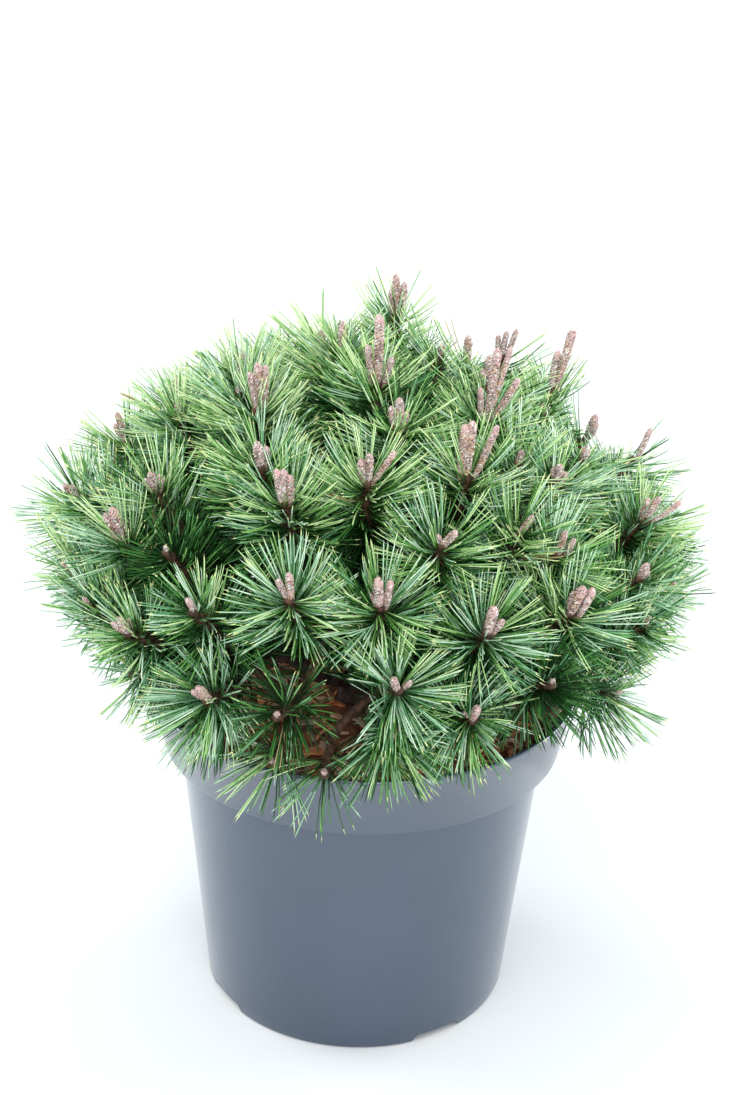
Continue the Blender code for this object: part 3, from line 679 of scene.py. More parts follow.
def add_needles(batch, base, direction, bend, outer, length, middle, tints, cool, tipped):
    """Slim needles, flat towards their partner and keeled on the outer side."""
    across = np.cross(direction, outer)
    rings = []
    for station, swell in zip((0.0, middle[:, None], NEEDLE_TIP), NEEDLE_SWELL):
        centre = base + length[:, None] * (station * direction + station**2 * bend)
        rings.append(centre + swell * NEEDLE_HALF_WIDTH * across)
        rings.append(centre + swell * NEEDLE_THICKNESS * outer)
        rings.append(centre - swell * NEEDLE_HALF_WIDTH * across)
    rings.append(base + length[:, None] * (direction + bend))
    points = np.stack(rings, axis=1)
    faces, darker = needle_triangles()
    triangles = faces[None] + (np.arange(len(base)) * points.shape[1])[:, None, None]
    face_tints = np.clip(tints[:, None] + darker[None], 0, SHADE_TINT)
    pale = cool[:, None] & (face_tints < COOL_KINDS)
    face_tints = np.where(pale, face_tints + FIRST_COOL, face_tints)
    face_tints[:, -3:] = np.where(tipped, TIP_TINT, face_tints[:, -1])[:, None]
    face_tints = np.where((tints > SHADE_TINT)[:, None], tints[:, None], face_tints)
    batch.add(points.reshape(-1, 3), triangles.reshape(-1, 3), face_tints.ravel())


def add_sheaths(batch, base, direction, outer):
    """Brown papery sheath round the foot of each pair."""
    across = np.cross(direction, outer)
    corners = [base + SHEATH_LENGTH * direction]
    for turn in (0.0, 120.0, 240.0):
        angle = math.radians(turn)
        corners.append(base + SHEATH_RADIUS * (math.cos(angle) * across + math.sin(angle) * outer))
    points = np.stack(corners, axis=1)
    faces = np.array([(1, 2, 0), (2, 3, 0), (3, 1, 0), (1, 3, 2)])
    triangles = faces[None] + (np.arange(len(base)) * 4)[:, None, None]
    batch.add(points.reshape(-1, 3), triangles.reshape(-1, 3), SHEATH_TINT)


def from_sight(points, place):
    """How far each point is from the viewpoint along the sight line through a place, and off it."""
    line = np.array(place) - VIEWPOINT
    offset = points - VIEWPOINT
    along = offset @ unit(line)
    away = np.linalg.norm(offset - along[..., None] * unit(line), axis=-1)
    return along - np.linalg.norm(line), away


def in_opening(points, wide):
    """True for points in an opening; its edge is ragged, by a factor for each needle."""
    inside = np.zeros(points.shape[:-1], bool)
    for place, radius, beyond, shade in OPENINGS:
        past, away = from_sight(points, place)
        inside |= (away < radius * wide) & (past < beyond)
    return inside


def in_shade(points):
    """How deep in the shade of an opening each point is, from 0 to 1."""
    deep = np.zeros(len(points))
    for place, radius, beyond, shade in OPENINGS:
        if shade:
            past, away = from_sight(points, place)
            near = np.exp(-((away / shade) ** 2)) * (past < beyond + SHADE_BEYOND)
            deep = np.maximum(deep, near)
    return deep


def candle_lines(masses):
    """Lines that needles keep clear of: each candle's own, and lines of sight to front candles."""
    lines = []
    for name, start, end, shoots in masses:
        for shoot in shoots:
            head = np.array(shoot.head[:])
            up = np.array(shoot.up[:])
            tall = max(shoot.candle, CLEAR_FROM)
            lines.append((head + CLEAR_FROM * up, head + tall * up, CANDLE_CLEARANCE))
            if shoot.place is None or shoot.candle < SHORTEST_SEEN_CANDLE:
                continue
            for share in SEEN_SHARES:
                spot = head + share * tall * up
                lines.append((spot, spot + SIGHT_LENGTH * unit(VIEWPOINT - spot), SIGHT_RADIUS))
    starts = np.array([line[0] for line in lines])
    ends = np.array([line[1] for line in lines])
    return starts, ends - starts, np.array([line[2] for line in lines])


def near_candle(points, lines):
    """True for points that would stand in or in front of a candle."""
    starts, spans, radii = lines
    offset = points[:, None, :] - starts[None]
    along = np.einsum("pld,ld->pl", offset, spans) / (spans**2).sum(1)
    along = np.clip(along, 0.0, 1.0)
    away = np.linalg.norm(offset - along[..., None] * spans[None], axis=2)
    return (away < radii).any(axis=1)


def along_needle(base, direction, bend, length, station):
    return base + (length * station)[:, None] * (direction + station * bend)


def hides_candle(base, direction, bend, length, lines):
    """True for needles that would cross a candle."""
    crossing = np.zeros(len(base), bool)
    for station in CROSSING_STATIONS:
        crossing |= near_candle(along_needle(base, direction, bend, length, station), lines)
    return crossing


def free_share(rng, base, direction, bend, length, keep_open):
    """Share of each needle that stays off the pot and out of the openings."""
    share = np.ones(len(base))
    wide = rng.uniform(*OPENING_EDGE, len(base))
    for station in FREE_STATIONS:
        reach = along_needle(base, direction, bend, length, station)
        good = clear_of_pot(reach, POT_MARGIN)
        if keep_open:
            good &= ~in_opening(reach, wide)
        share = np.where(good, share, station - STATION_MARGIN)
    return share


def add_pairs(batch, rng, base, direction, bend, length, share, tint, cool):
    """Both needles of each pair, with the sheath that holds them."""
    count = len(base)
    kept = share >= SHORTEST_NEEDLE
    length = length * share
    tipped = (rng.random(count) < TIP_SHARE) & (tint < COOL_KINDS) & (share == 1.0)
    turn = rng.uniform(0.0, 2.0 * math.pi, count)
    first = unit(np.cross(direction, upright(direction)) + 1e-6)
    outer = np.cos(turn)[:, None] * first + np.sin(turn)[:, None] * np.cross(direction, first)
    spread = np.tan(np.radians(rng.uniform(*PAIR_SPREAD, count)))[:, None]
    for side in (-1.0, 1.0):
        away = side * outer
        leaning = unit(direction + spread * away)
        apart = unit(square_to(away, leaning))
        own = bend + PAIR_BEND * square_to(rng.normal(0.0, 1.0, (count, 3)), leaning)
        size = length * rng.uniform(*PAIR_LENGTHS, count)
        darker = (rng.random(count) < DARKER_PARTNERS) & (tint < SHADE_TINT)
        middle = rng.uniform(*NEEDLE_MIDDLE, count)
        parts = (base + PAIR_GAP * away, leaning, own, apart, size, middle, tint + darker, cool, tipped)
        add_needles(batch, *(part[kept] for part in parts))
    add_sheaths(batch, base[kept], direction[kept], outer[kept])


def along_line(points, back):
    """Place and forward direction at distances back from the first point of a line."""
    marks = np.concatenate(([0.0], np.cumsum(np.linalg.norm(np.diff(points, axis=0), axis=1))))
    back = np.minimum(back, marks[-1] - 0.004)
    place = np.stack([np.interp(back, marks, points[:, axis]) for axis in range(3)], axis=1)
    behind = np.stack([np.interp(back + 0.003, marks, points[:, axis]) for axis in range(3)], axis=1)
    return place, unit(place - behind)


def upright(directions):
    return np.broadcast_to(np.array((0.0, 0.0, 1.0)), directions.shape)


def helper_axis(tangent):
    """An axis that isn't close to the tangent."""
    return np.array((0.0, 0.0, 1.0)) if abs(tangent[2]) < 0.9 else np.array((0.0, 1.0, 0.0))


def around(tangent, angle):
    """Outward direction at an angle round each tangent."""
    across = unit(square_to(helper_axis(tangent[0]), tangent))
    return turned_from(across, tangent, angle)


def turned_from(across, tangent, angle):
    """The direction across, turned round the tangent by each angle."""
    return np.cos(angle)[:, None] * across + np.sin(angle)[:, None] * np.cross(tangent, across)


def curves(rng, tangent, direction, lift):
    """Gentle bend of each needle, a little towards its shoot's tip and the light."""
    bend = BEND_FORWARD * square_to(tangent, direction) + lift * square_to(upright(direction), direction)
    return bend + BEND_SPREAD * square_to(rng.normal(0.0, 1.0, direction.shape), direction)


def grow_needles(batch, shoot, lines):
    """All the needle pairs of one shoot, in sprays that share a lean and a colour."""
    rng = np.random.default_rng(NEEDLE_SEED + shoot.number)
    line = np.array([point[:] for point in reversed(shoot.line)])
    young = FIRST_PAIR + (YOUNG_WOOD - FIRST_PAIR) * (np.arange(YOUNG_PAIRS) + 0.5) / YOUNG_PAIRS
    old = YOUNG_WOOD + (OLD_WOOD - YOUNG_WOOD) * (np.arange(OLD_PAIRS) + 0.5) / OLD_PAIRS
    back = np.concatenate((young, old))
    count = len(back)
    place, tangent = along_line(line, back)
    angle = GOLDEN_TURN * np.arange(count) + rng.uniform(-TURN_SPREAD, TURN_SPREAD, count)
    radial = around(tangent, angle)
    lean = np.interp(back, LEAN_PLACES, LEAN_DEGREES)
    near = np.interp(back, (FIRST_PAIR, LEAN_WITH_RISE_UNTIL), (1.0, 0.0))
    lean = lean + LEAN_WITH_RISE * max(0.0, shoot.rise) * near
    lean = np.radians(lean + rng.normal(0.0, LEAN_SPREAD, count))
    direction = np.cos(lean)[:, None] * tangent + np.sin(lean)[:, None] * radial
    sector = np.floor((angle % (2.0 * math.pi)) / (2.0 * math.pi) * SECTORS).astype(int)
    spray = sector + SECTORS * np.floor(back / BAND).astype(int)
    direction = unit(direction + rng.normal(0.0, SPRAY_SPREAD, (spray.max() + 1, 3))[spray])
    shorter_at_head = np.interp(back, (0.0, HEAD_SPAN), (LENGTH_AT_HEAD, 1.0))
    length = NEEDLE_LENGTH * rng.uniform(*NEEDLE_LENGTHS, count) * shorter_at_head
    strong = shoot.number in STRONG_SHOOTS
    low_side = shoot.rise < LOW_SIDE_RISE and shoot.head.y > LOW_SIDE_FRONT and not strong
    length = length * STRONG_SHOOTS.get(shoot.number, LOW_SIDE_LENGTH if low_side else 1.0)
    length_share, kept_share, darker = WEAK_SHOOTS.get(shoot.number, (1.0, 1.0, 0.0))
    length = length * length_share
    base = place + NEEDLE_ROOT * radial
    bend = curves(rng, tangent, direction, BEND_UP_LOW_SIDE if low_side else BEND_UP)
    share = free_share(rng, base, direction, bend, length, kept_share == 1.0)
    share = np.where(hides_candle(base, direction, bend, length, lines), 0.0, share)
    if shoot.number in WEAK_SHOOTS:
        share = np.where(rng.random(count) < kept_share, share, 0.0)
    middle = base + SHADE_STATION * length[:, None] * direction
    # Painted light and shade: each needle's tint follows how lit it would be, less in the openings'
    # painted shade and on shoots painted darker as shade
    light = needle_light(shoot, direction, back) - SHADE_DEPTH * in_shade(middle) - darker
    tint, cool = spray_tints(rng, shoot, light, spray)
    add_pairs(batch, rng, base, direction, bend, length, share, tint, cool)


def needle_light(shoot, direction, back):
    """How lit each needle is painted, as painted light, before the painted shade of the openings and the
    chance of its spray.
    """
    outward = direction @ np.array(dome_normal(shoot.head)[:])
    light = LIGHT_BASE + LIGHT_UPWARD * direction[:, 2] + LIGHT_OUTWARD * outward
    light = light + LIGHT_WITH_RISE * shoot.rise
    return light + LIGHT_NEAR_HEAD * np.interp(back, LIGHT_PLACES, LIGHT_SHARES)


def spray_tints(rng, shoot, light, spray):
    """Each needle's tint, from its painted light and shade, and whether it is a cool one, dealt out by
    spray.
    """
    count = len(light)
    sprays = spray.max() + 1
    total = np.bincount(spray, light, sprays) / np.maximum(np.bincount(spray, minlength=sprays), 1)
    total = total + rng.normal(0.0, SPRAY_LIGHT_SPREAD, sprays)
    own = total[spray] + rng.normal(0.0, NEEDLE_LIGHT_SPREAD, count)
    tint = np.searchsorted(-np.array(TINT_STEPS), -own)
    cool_share = float(np.interp(shoot.rise, (0.0, COOL_UNTIL_RISE), COOL_SHARES))
    cool = (rng.random(sprays) < cool_share)[spray] ^ (rng.random(count) < ODD_SHARE)
    return np.where(rng.random(count) < STRAW_SHARE, STRAW_TINT, tint), cool


def grow_inner_needles(batch, bough, number):
    """Older needles on the outer part of a bough, deep inside the crown, in the darkest tints: partly
    the older needles' own colour and mostly painted shade.
    """
    rng = np.random.default_rng(BOUGH_SEED + number)
    line = np.array([point[:] for point in reversed(bough_line(bough, BOUGH_LINE_STEPS))])
    reach = float(np.sum(np.linalg.norm(np.diff(line, axis=0), axis=1)))
    back = BOUGH_NEEDLED * reach * (np.arange(BOUGH_PAIRS) + 0.5) / BOUGH_PAIRS
    place, tangent = along_line(line, back)
    radial = around(tangent, GOLDEN_TURN * np.arange(BOUGH_PAIRS))
    lean = np.radians(rng.normal(BOUGH_NEEDLE_LEAN, BOUGH_LEAN_SPREAD, BOUGH_PAIRS))
    direction = np.cos(lean)[:, None] * tangent + np.sin(lean)[:, None] * radial
    base = place + BOUGH_NEEDLE_ROOT * radial
    length = NEEDLE_LENGTH * rng.uniform(*BOUGH_NEEDLE_LENGTHS, BOUGH_PAIRS)
    bend = curves(rng, tangent, direction, BEND_UP)
    share = free_share(rng, base, direction, bend, length, True)
    tint = np.where(rng.random(BOUGH_PAIRS) < INNER_SHADE_SHARE, SHADE_TINT, SHADE_TINT - 1)
    tint = np.where(rng.random(BOUGH_PAIRS) < INNER_STRAW_SHARE, STRAW_TINT, tint)
    add_pairs(batch, rng, base, direction, bend, length, share, tint, np.zeros(BOUGH_PAIRS, bool))


# Wood
def grid_triangles(rows, sides):
    """Triangles of rows of points joined round, row after row."""
    low = (np.arange(rows - 1) * sides)[:, None] + np.arange(sides)[None]
    after = (np.arange(rows - 1) * sides)[:, None] + ((np.arange(sides) + 1) % sides)[None]
    first = np.stack((low, after, after + sides), axis=-1).reshape(-1, 3)
    second = np.stack((low, after + sides, low + sides), axis=-1).reshape(-1, 3)
    return np.concatenate((first, second))


def closed_form(points, sides, first_end, last_end):
    """Points and triangles of rows of points joined round, with a fan at each end."""
    high = len(points) - sides
    fans = []
    for step in range(sides):
        after = (step + 1) % sides
        fans.append((after, step, len(points)))
        fans.append((high + step, high + after, len(points) + 1))
    triangles = np.concatenate((grid_triangles(len(points) // sides, sides), np.array(fans)))
    return np.concatenate((points, np.array([first_end, last_end]))), triangles


def turns(sides, start=0.0):
    return 2.0 * math.pi * (np.arange(sides) + start) / sides


def tube_form(line, radii, sides, relief, grain, seed):
    """A closed limb with bark relief along a line."""
    centres = np.array([point[:] for point in line])
    tangents = unit(np.gradient(centres, axis=0))
    across = unit(square_to(helper_axis(tangents[0]), tangents[0]))
    rings = []
    for tangent in tangents:
        across = unit(square_to(across, tangent))
        rings.append(turned_from(across, tangent, turns(sides)))
    outward = np.concatenate(rings)
    middle = np.repeat(centres, sides, axis=0)
    sizes = np.repeat(np.array(radii), sides)[:, None]
    plain = middle + sizes * outward
    rough = value_noise(plain, grain, seed) + 0.5 * value_noise(plain, 0.45 * grain, seed + 3)
    points = middle + sizes * outward * (1.0 + relief * rough)[:, None]
    return closed_form(points, sides, centres[0], centres[-1])


def make_trunk(finish):
    """The trunk with its root flare, covered in bark plates that are longer than wide."""
    top = TRUNK_STATIONS[-1][0]
    angles = turns(TRUNK_SIDES)
    around_axis = np.stack((np.cos(angles), np.sin(angles), 0.0 * angles), axis=1)
    centres = []
    points = []
    for height in np.linspace(0.0, top, TRUNK_ROWS):
        centre = np.array(trunk_centre(height)[:])
        flare = FLARE_DEPTH * max(0.0, 1.0 - height / FLARE_HEIGHT) * np.cos(FLARE_LOBES * angles)
        reach = trunk_radius(height) + flare
        centres.append(centre)
        points.append(centre + reach[:, None] * around_axis)
    points = np.concatenate(points)
    outward = unit(points - np.repeat(np.array(centres), TRUNK_SIDES, axis=0))
    plates = value_noise(points * np.array((1.0, 1.0, 0.55)), 0.006, 1)
    plates = plates + 0.6 * value_noise(points, 0.0028, 2)
    points = points + TRUNK_RELIEF * plates[:, None] * outward
    points[:, 2] = np.maximum(points[:, 2], MULCH_TOP + GAP)
    batch = Batch()
    batch.add(*closed_form(points, TRUNK_SIDES, centres[0], centres[-1]), 0)
    return batch.build("trunk_bark", [finish], ("trunk",), smooth=True)


def make_boughs(boughs, finish):
    batch = Batch()
    for number, bough in enumerate(boughs):
        line = bough_line(bough, BOUGH_FINE_STEPS)
        radii = np.linspace(BOUGH_FOOT_RADIUS, BOUGH_TIP_RADIUS, len(line))
        batch.add(*tube_form(line, radii, BOUGH_SIDES, *BOUGH_BARK, number), 0)
    nodes = [f"bough_{bough[0]}" for bough in boughs]
    return batch.build("bough_bark", [finish], nodes, smooth=True)


def make_twigs(masses, finish):
    """Stems and shoots inside the masses, thickened by old needle cushions."""
    batch = Batch()
    for name, start, end, shoots in masses:
        line = [start.lerp(end, step / STEM_STEPS) for step in range(STEM_STEPS + 1)]
        radii = np.linspace(BOUGH_TIP_RADIUS, STEM_TIP_RADIUS, len(line))
        batch.add(*tube_form(line, radii, STEM_SIDES, *STEM_BARK, 50), 0)
        for shoot in shoots:
            fine = []
            for first, second in zip(shoot.line, shoot.line[1:]):
                fine += [first, first.lerp(second, 0.5)]
            fine.append(shoot.line[-1])
            last = len(fine) - 1
            swell = np.interp(np.arange(len(fine)), (0, last - 5, last), TWIG_SWELL)
            batch.add(*tube_form(fine, TWIG_RADIUS * swell, TWIG_SIDES, *TWIG_BARK, shoot.number), 0)
    return batch.build("twig_bark", [finish], smooth=True)


# Candles
def finger_form(start, direction, length, radius, rng):
    """One scaly, blunt finger of a candle, with how far along it each face is."""
    rows = max(7, int(round(length / FINGER_ROW)))
    share = np.linspace(0.0, 1.0, rows)
    dome = min(0.6, 2.0 * radius / length)
    swell = np.interp(share, (0.0, 0.15, 0.45, 0.85), (0.66, 0.86, 1.0, 0.98))
    top = np.clip((share - 1.0 + dome) / dome, 0.0, 1.0)
    swell = swell * np.sqrt(np.maximum(1.0 - top**2, 0.03))
    helper = np.array((1.0, 0.0, 0.0)) if abs(direction[0]) < 0.8 else np.array((0.0, 1.0, 0.0))
    across = unit(square_to(helper, direction))
    points = []
    for row in range(rows):
        odd = (np.arange(FINGER_SIDES) + row) % 2
        scale = 1.0 + SCALE_RELIEF * (1.0 - 2.0 * odd)
        reach = radius * swell[row] * scale * rng.uniform(0.93, 1.06, FINGER_SIDES)
        ring = turned_from(across, direction, turns(FINGER_SIDES, 0.5 * (row % 2)))
        points.append(start + share[row] * length * direction + reach[:, None] * ring)
    end = start + (length + 0.0003) * direction
    points, triangles = closed_form(np.concatenate(points), FINGER_SIDES, start, end)
    place = np.tile(np.repeat(share[:-1], FINGER_SIDES), 2)
    return points, triangles, np.concatenate((place, np.zeros(2 * FINGER_SIDES)))


def finger_tints(place, length, warmth, low, rng):
    """Rose towards the top, ash and resin flecks between, tan and rust near the foot."""
    count = len(place)
    mix = np.where(rng.random(count) < 0.50, ASH, np.where(rng.random(count) < 0.68, MAUVE, RESIN))
    top = np.clip((place - 0.55) / 0.35, 0.0, 1.0)
    rose = rng.random(count) < 0.16 + 0.22 * low + (0.40 if length > LONG_FINGER else 0.20) * top
    tint = np.where(rose, ROSE, mix)
    foot = np.clip(1.0 - place * length / FINGER_FOOT, 0.0, 1.0)
    warm = rng.random(count) < np.maximum(0.85 * foot, warmth * (place < 0.8))
    return np.where(warm, np.where(rng.random(count) < 0.45, TAN, RUST), tint)


def own_fingers(shoot, rng):
    """Fingers of a candle that isn't in the table, by its length."""
    candle = WEAK_CANDLE if shoot.number in WEAK_SHOOTS else max(shoot.candle, LEAST_CANDLE)
    length = 1000.0 * candle + 3.0
    radius = 2.2 if length < 10.0 else 3.2
    fingers = [(0, rng.uniform(-6.0, 6.0), length, radius)]
    if length > 11.0:
        for side in (-1, 1):
            if rng.random() < 0.6:
                lean = side * rng.uniform(8.0, 24.0)
                fingers.append((3.0 * side, lean, length * rng.uniform(0.55, 0.9), radius * 0.85))
    return fingers


def add_candle(batch, shoot):
    """The upright fingers that stand together at a shoot's head."""
    rng = np.random.default_rng(CANDLE_SEED + shoot.number)
    up = np.array(shoot.up[:])
    head = np.array(shoot.head[:]) - CANDLE_ROOT * np.array(shoot.axis[:])
    right = unit(square_to(np.array((1.0, 0.0, 0.0)), up))
    if shoot.place is None:
        turn = rng.uniform(0.0, 2.0 * math.pi)
        right = math.cos(turn) * right + math.sin(turn) * np.cross(up, right)
    depth = np.cross(up, right)
    low = max(0.0, 1.0 - max(0.0, shoot.rise))
    fingers = CANDLE_FINGERS.get(shoot.place) or own_fingers(shoot, rng)
    for order, (offset, lean, length, radius) in enumerate(fingers):
        angle = math.radians(lean)
        tilt = rng.normal(0.0, 0.05)
        direction = unit(math.cos(angle) * up + math.sin(angle) * right + tilt * depth)
        start = head + 0.0007 * offset * right + 0.0012 * (order % 2) * depth
        size = 0.001 * length + 0.003
        points, triangles, place = finger_form(start, direction, size, 0.001 * radius, rng)
        warmth = 0.35 if length > 28.0 or rng.random() < 0.25 else 0.08
        batch.add(points, triangles, finger_tints(place, size, warmth, low, rng))


# Pot and its filling
def turned(profile, segments):
    """Vertices and faces of a closed solid turned about Z, from the axis below to the axis on top."""
    vertices = []
    faces = []
    rings = []
    for radius, height in profile:
        if radius == 0.0:
            rings.append([len(vertices)] * segments)
            vertices.append((0.0, 0.0, height))
            continue
        ring = []
        for step in range(segments):
            azimuth = 2.0 * math.pi * step / segments
            ring.append(len(vertices))
            vertices.append((radius * math.cos(azimuth), radius * math.sin(azimuth), height))
        rings.append(ring)
    for lower, upper in zip(rings, rings[1:]):
        for step in range(segments):
            after = (step + 1) % segments
            faces.append(tuple(dict.fromkeys((lower[step], lower[after], upper[after], upper[step]))))
    return vertices, faces


def plain_object(name, vertices, faces, finish):
    mesh = bpy.data.meshes.new(name)
    mesh.from_pydata(vertices, [], faces)
    mesh.materials.append(finish)
    made = bpy.data.objects.new(name, mesh)
    bpy.context.scene.collection.objects.link(made)
    return made


def stepped(radius, height, steps):
    """A rounded edge: steps outwards and upwards from a radius and height."""
    return [(radius + out, height + up) for out, up in steps]


def pot_profile():
    """The pot's outline: the underside, the tapered side, the flared lip and the inside."""
    foot_inner = FOOT_RADIUS - FOOT_RING
    channel_top = DRAIN_CHANNEL_HEIGHT + FLOOR
    under = [
        (0.0, 0.0),
        (FLOOR_DISC_RADIUS, 0.0),
        (FLOOR_DISC_RADIUS + DRAIN_CHANNEL_SLANT, DRAIN_CHANNEL_HEIGHT),
        (foot_inner, DRAIN_CHANNEL_HEIGHT),
        (foot_inner, 0.0),
    ]
    under += stepped(FOOT_RADIUS, 0.0, FOOT_STEPS)
    side = []
    for share in np.linspace(0.05, 1.0, 12):
        side.append((FOOT_RADIUS + share * (SHOULDER_RADIUS - FOOT_RADIUS), share * LIP_BOTTOM))
    lip = stepped(SHOULDER_RADIUS, LIP_BOTTOM, ((0.0010, 0.0001),))
    lip += stepped(LIP_BOTTOM_RADIUS, LIP_BOTTOM, LIP_STEPS)
    lip += stepped(RIM_RADIUS, POT_HEIGHT, RIM_STEPS)
    inside = [
        (LIP_BOTTOM_RADIUS - WALL, LIP_BOTTOM + WALL),
        (SHOULDER_RADIUS - WALL, LIP_BOTTOM + WALL),
        (FOOT_RADIUS - WALL + WALL_RISE_AT_CHANNEL, channel_top),
        (FLOOR_DISC_RADIUS, channel_top),
        (FLOOR_DISC_RADIUS - FLOOR, FLOOR),
        (0.0, FLOOR),
    ]
    return under + side + lip + inside


def notch_cutter(name, azimuth, finish):
    """A slant-sided block that cuts one notch into the foot."""
    inner = FOOT_RADIUS - FOOT_RING - NOTCH_INWARD
    outer = FOOT_RADIUS + NOTCH_OUTWARD
    vertices = []
    for height in (-CUT_MARGIN, NOTCH_HEIGHT):
        half = 0.5 * NOTCH_WIDTH - NOTCH_SLANT / NOTCH_HEIGHT * height
        vertices += [(inner, -half, height), (outer, -half, height)]
        vertices += [(outer, half, height), (inner, half, height)]
    faces = [(3, 2, 1, 0), (4, 5, 6, 7), (0, 1, 5, 4), (1, 2, 6, 5), (2, 3, 7, 6), (3, 0, 4, 7)]
    notch = plain_object(name, vertices, faces, finish)
    notch.rotation_euler = (0.0, 0.0, math.radians(azimuth - 90.0))
    return notch


def drain_cutter(name, azimuth, finish):
    """A round pin that cuts one drain hole into the channel's floor."""
    bottom = DRAIN_CHANNEL_HEIGHT - CUT_MARGIN
    top = DRAIN_CHANNEL_HEIGHT + FLOOR + CUT_MARGIN
    outline = ((0.0, bottom), (DRAIN_HOLE_RADIUS, bottom), (DRAIN_HOLE_RADIUS, top), (0.0, top))
    hole = plain_object(name, *turned(outline, DRAIN_HOLE_SIDES), finish)
    middle = 0.5 * (FLOOR_DISC_RADIUS + DRAIN_CHANNEL_SLANT + FOOT_RADIUS - FOOT_RING)
    angle = math.radians(azimuth - 90.0)
    hole.location = (middle * math.cos(angle), middle * math.sin(angle), 0.0)
    return hole


def pot_cutters(finish):
    """Notches in the foot, and drain holes between them."""
    cutters = []
    spacing = 360.0 / NOTCH_COUNT
    for number in range(NOTCH_COUNT):
        azimuth = NOTCH_FIRST_AZIMUTH + number * spacing
        cutters.append(notch_cutter(f"notch_{number}", azimuth, finish))
        cutters.append(drain_cutter(f"drain_{number}", azimuth + 0.5 * spacing, finish))
    return cutters


def make_pot(finish):
    pot = plain_object("nursery_pot", *turned(pot_profile(), POT_SEGMENTS), finish)
    group = bpy.data.collections.new("cutters")
    bpy.context.scene.collection.children.link(group)
    for cutter in pot_cutters(finish):
        bpy.context.scene.collection.objects.unlink(cutter)
        group.objects.link(cutter)
    change = pot.modifiers.new("cut", "BOOLEAN")
    change.operation = "DIFFERENCE"
    change.operand_type = "COLLECTION"
    change.collection = group
    change.solver = "EXACT"
    bpy.context.view_layer.update()
    result = bpy.data.meshes.new_from_object(pot.evaluated_get(bpy.context.evaluated_depsgraph_get()))
    pot.modifiers.clear()
    pot.data = result
    for cutter in list(group.objects):
        bpy.data.objects.remove(cutter, do_unlink=True)
    bpy.data.collections.remove(group)
    pot.data.shade_smooth()
    pot.data.set_sharp_from_angle(angle=math.radians(POT_EDGE_ANGLE))
    return dress(pot, ("pot",))


def mulch_height(x, y):
    """Height of the mulch's uneven top."""
    points = np.stack((x, y, 0.0 * x), axis=-1)
    lumps = 0.0030 * value_noise(points, 0.018, 4) + 0.0012 * value_noise(points, 0.006, 5)
    radius = np.hypot(x, y)
    flat = np.clip((radius - MULCH_SEAT_RADIUS) / 0.015, 0.0, 1.0)
    edge = np.clip((radius - 0.135) / 0.025, 0.0, 1.0)
    return MULCH_TOP - 0.0035 * flat + flat * lumps - 0.004 * edge


def make_mulch(base_finish, chip_finishes):
    """The bed of bark mulch, uneven on top, with loose shreds lying on it."""
    rng = np.random.default_rng(MULCH_SEED)
    angles = turns(MULCH_SIDES)
    radii = np.linspace(MULCH_EDGE, 0.004, MULCH_ROWS)
    x = (radii[:, None] * np.cos(angles)[None]).ravel()
    y = (radii[:, None] * np.sin(angles)[None]).ravel()
    top = np.stack((x, y, mulch_height(x, y)), axis=1)
    lower = top[:MULCH_SIDES].copy()
    bottom = LIP_BOTTOM + WALL + GAP
    lower[:, 2] = bottom
    lower[:, :2] *= (LIP_BOTTOM_RADIUS - WALL - 2.0 * GAP) / MULCH_EDGE
    points = np.concatenate((lower, top))
    batch = Batch()
    batch.add(*closed_form(points, MULCH_SIDES, (0.0, 0.0, bottom), (0.0, 0.0, MULCH_TOP)), 0)
    for _ in range(CHIP_COUNT):
        add_chip(batch, rng)
    return batch.build("mulch_chips", [base_finish] + chip_finishes, ("bark_mulch",))


def add_chip(batch, rng):
    """One shred of bark: a bent sliver with ragged sides and split ends."""
    reach = (CHIP_EDGE - 0.004) * math.sqrt(rng.uniform(0.02, 1.0))
    turn = rng.uniform(0.0, 2.0 * math.pi)
    centre = np.array((reach * math.cos(turn), reach * math.sin(turn), 0.0))
    length = rng.uniform(*CHIP_LENGTHS)
    half_width = rng.uniform(*CHIP_HALF_WIDTHS)
    thickness = rng.uniform(*CHIP_THICKNESSES)
    yaw = rng.uniform(0.0, 2.0 * math.pi)
    along = unit(np.array((math.cos(yaw), math.sin(yaw), rng.normal(0.0, 0.22))))
    across = unit(np.cross((0.0, 0.0, 1.0), along) + np.array((0.0, 0.0, rng.normal(0.0, 0.45))))
    across = unit(square_to(across, along))
    upward = np.cross(along, across)
    bend = rng.normal(0.0, 0.10) * length
    twist = rng.normal(0.0, 0.5)
    points = []
    for step in np.linspace(-0.5, 0.5, CHIP_ROWS):
        width = half_width * (1.0 - (2.0 * abs(step)) ** 3 * 0.75) * rng.uniform(0.75, 1.15)
        middle = centre + step * length * along + bend * (0.25 - step * step) * 4.0 * upward
        lean = twist * step
        side = math.cos(lean) * across + math.sin(lean) * upward
        over = np.cross(along, side)
        for horizontal, vertical in ((-1.0, -0.5), (1.0, -0.5), (0.8, 0.5), (-0.8, 0.5)):
            points.append(middle + horizontal * width * side + vertical * thickness * over)
    points = np.array(points)
    ground = mulch_height(points[:, 0], points[:, 1])
    points[:, 2] += float(np.mean(ground)) + rng.uniform(*CHIP_LIFTS)
    radius = np.hypot(points[:, 0], points[:, 1])
    points[:, :2] *= np.where(radius > CHIP_EDGE, CHIP_EDGE / np.maximum(radius, 1e-9), 1.0)[:, None]
    last = 4 * (CHIP_ROWS - 1)
    caps = np.array([(0, 2, 1), (0, 3, 2), (last, last + 1, last + 2), (last, last + 2, last + 3)])
    faces = np.concatenate((grid_triangles(CHIP_ROWS, 4), caps))
    batch.add(points, faces, int(rng.integers(1, len(CHIP_COLOURS) + 1)))


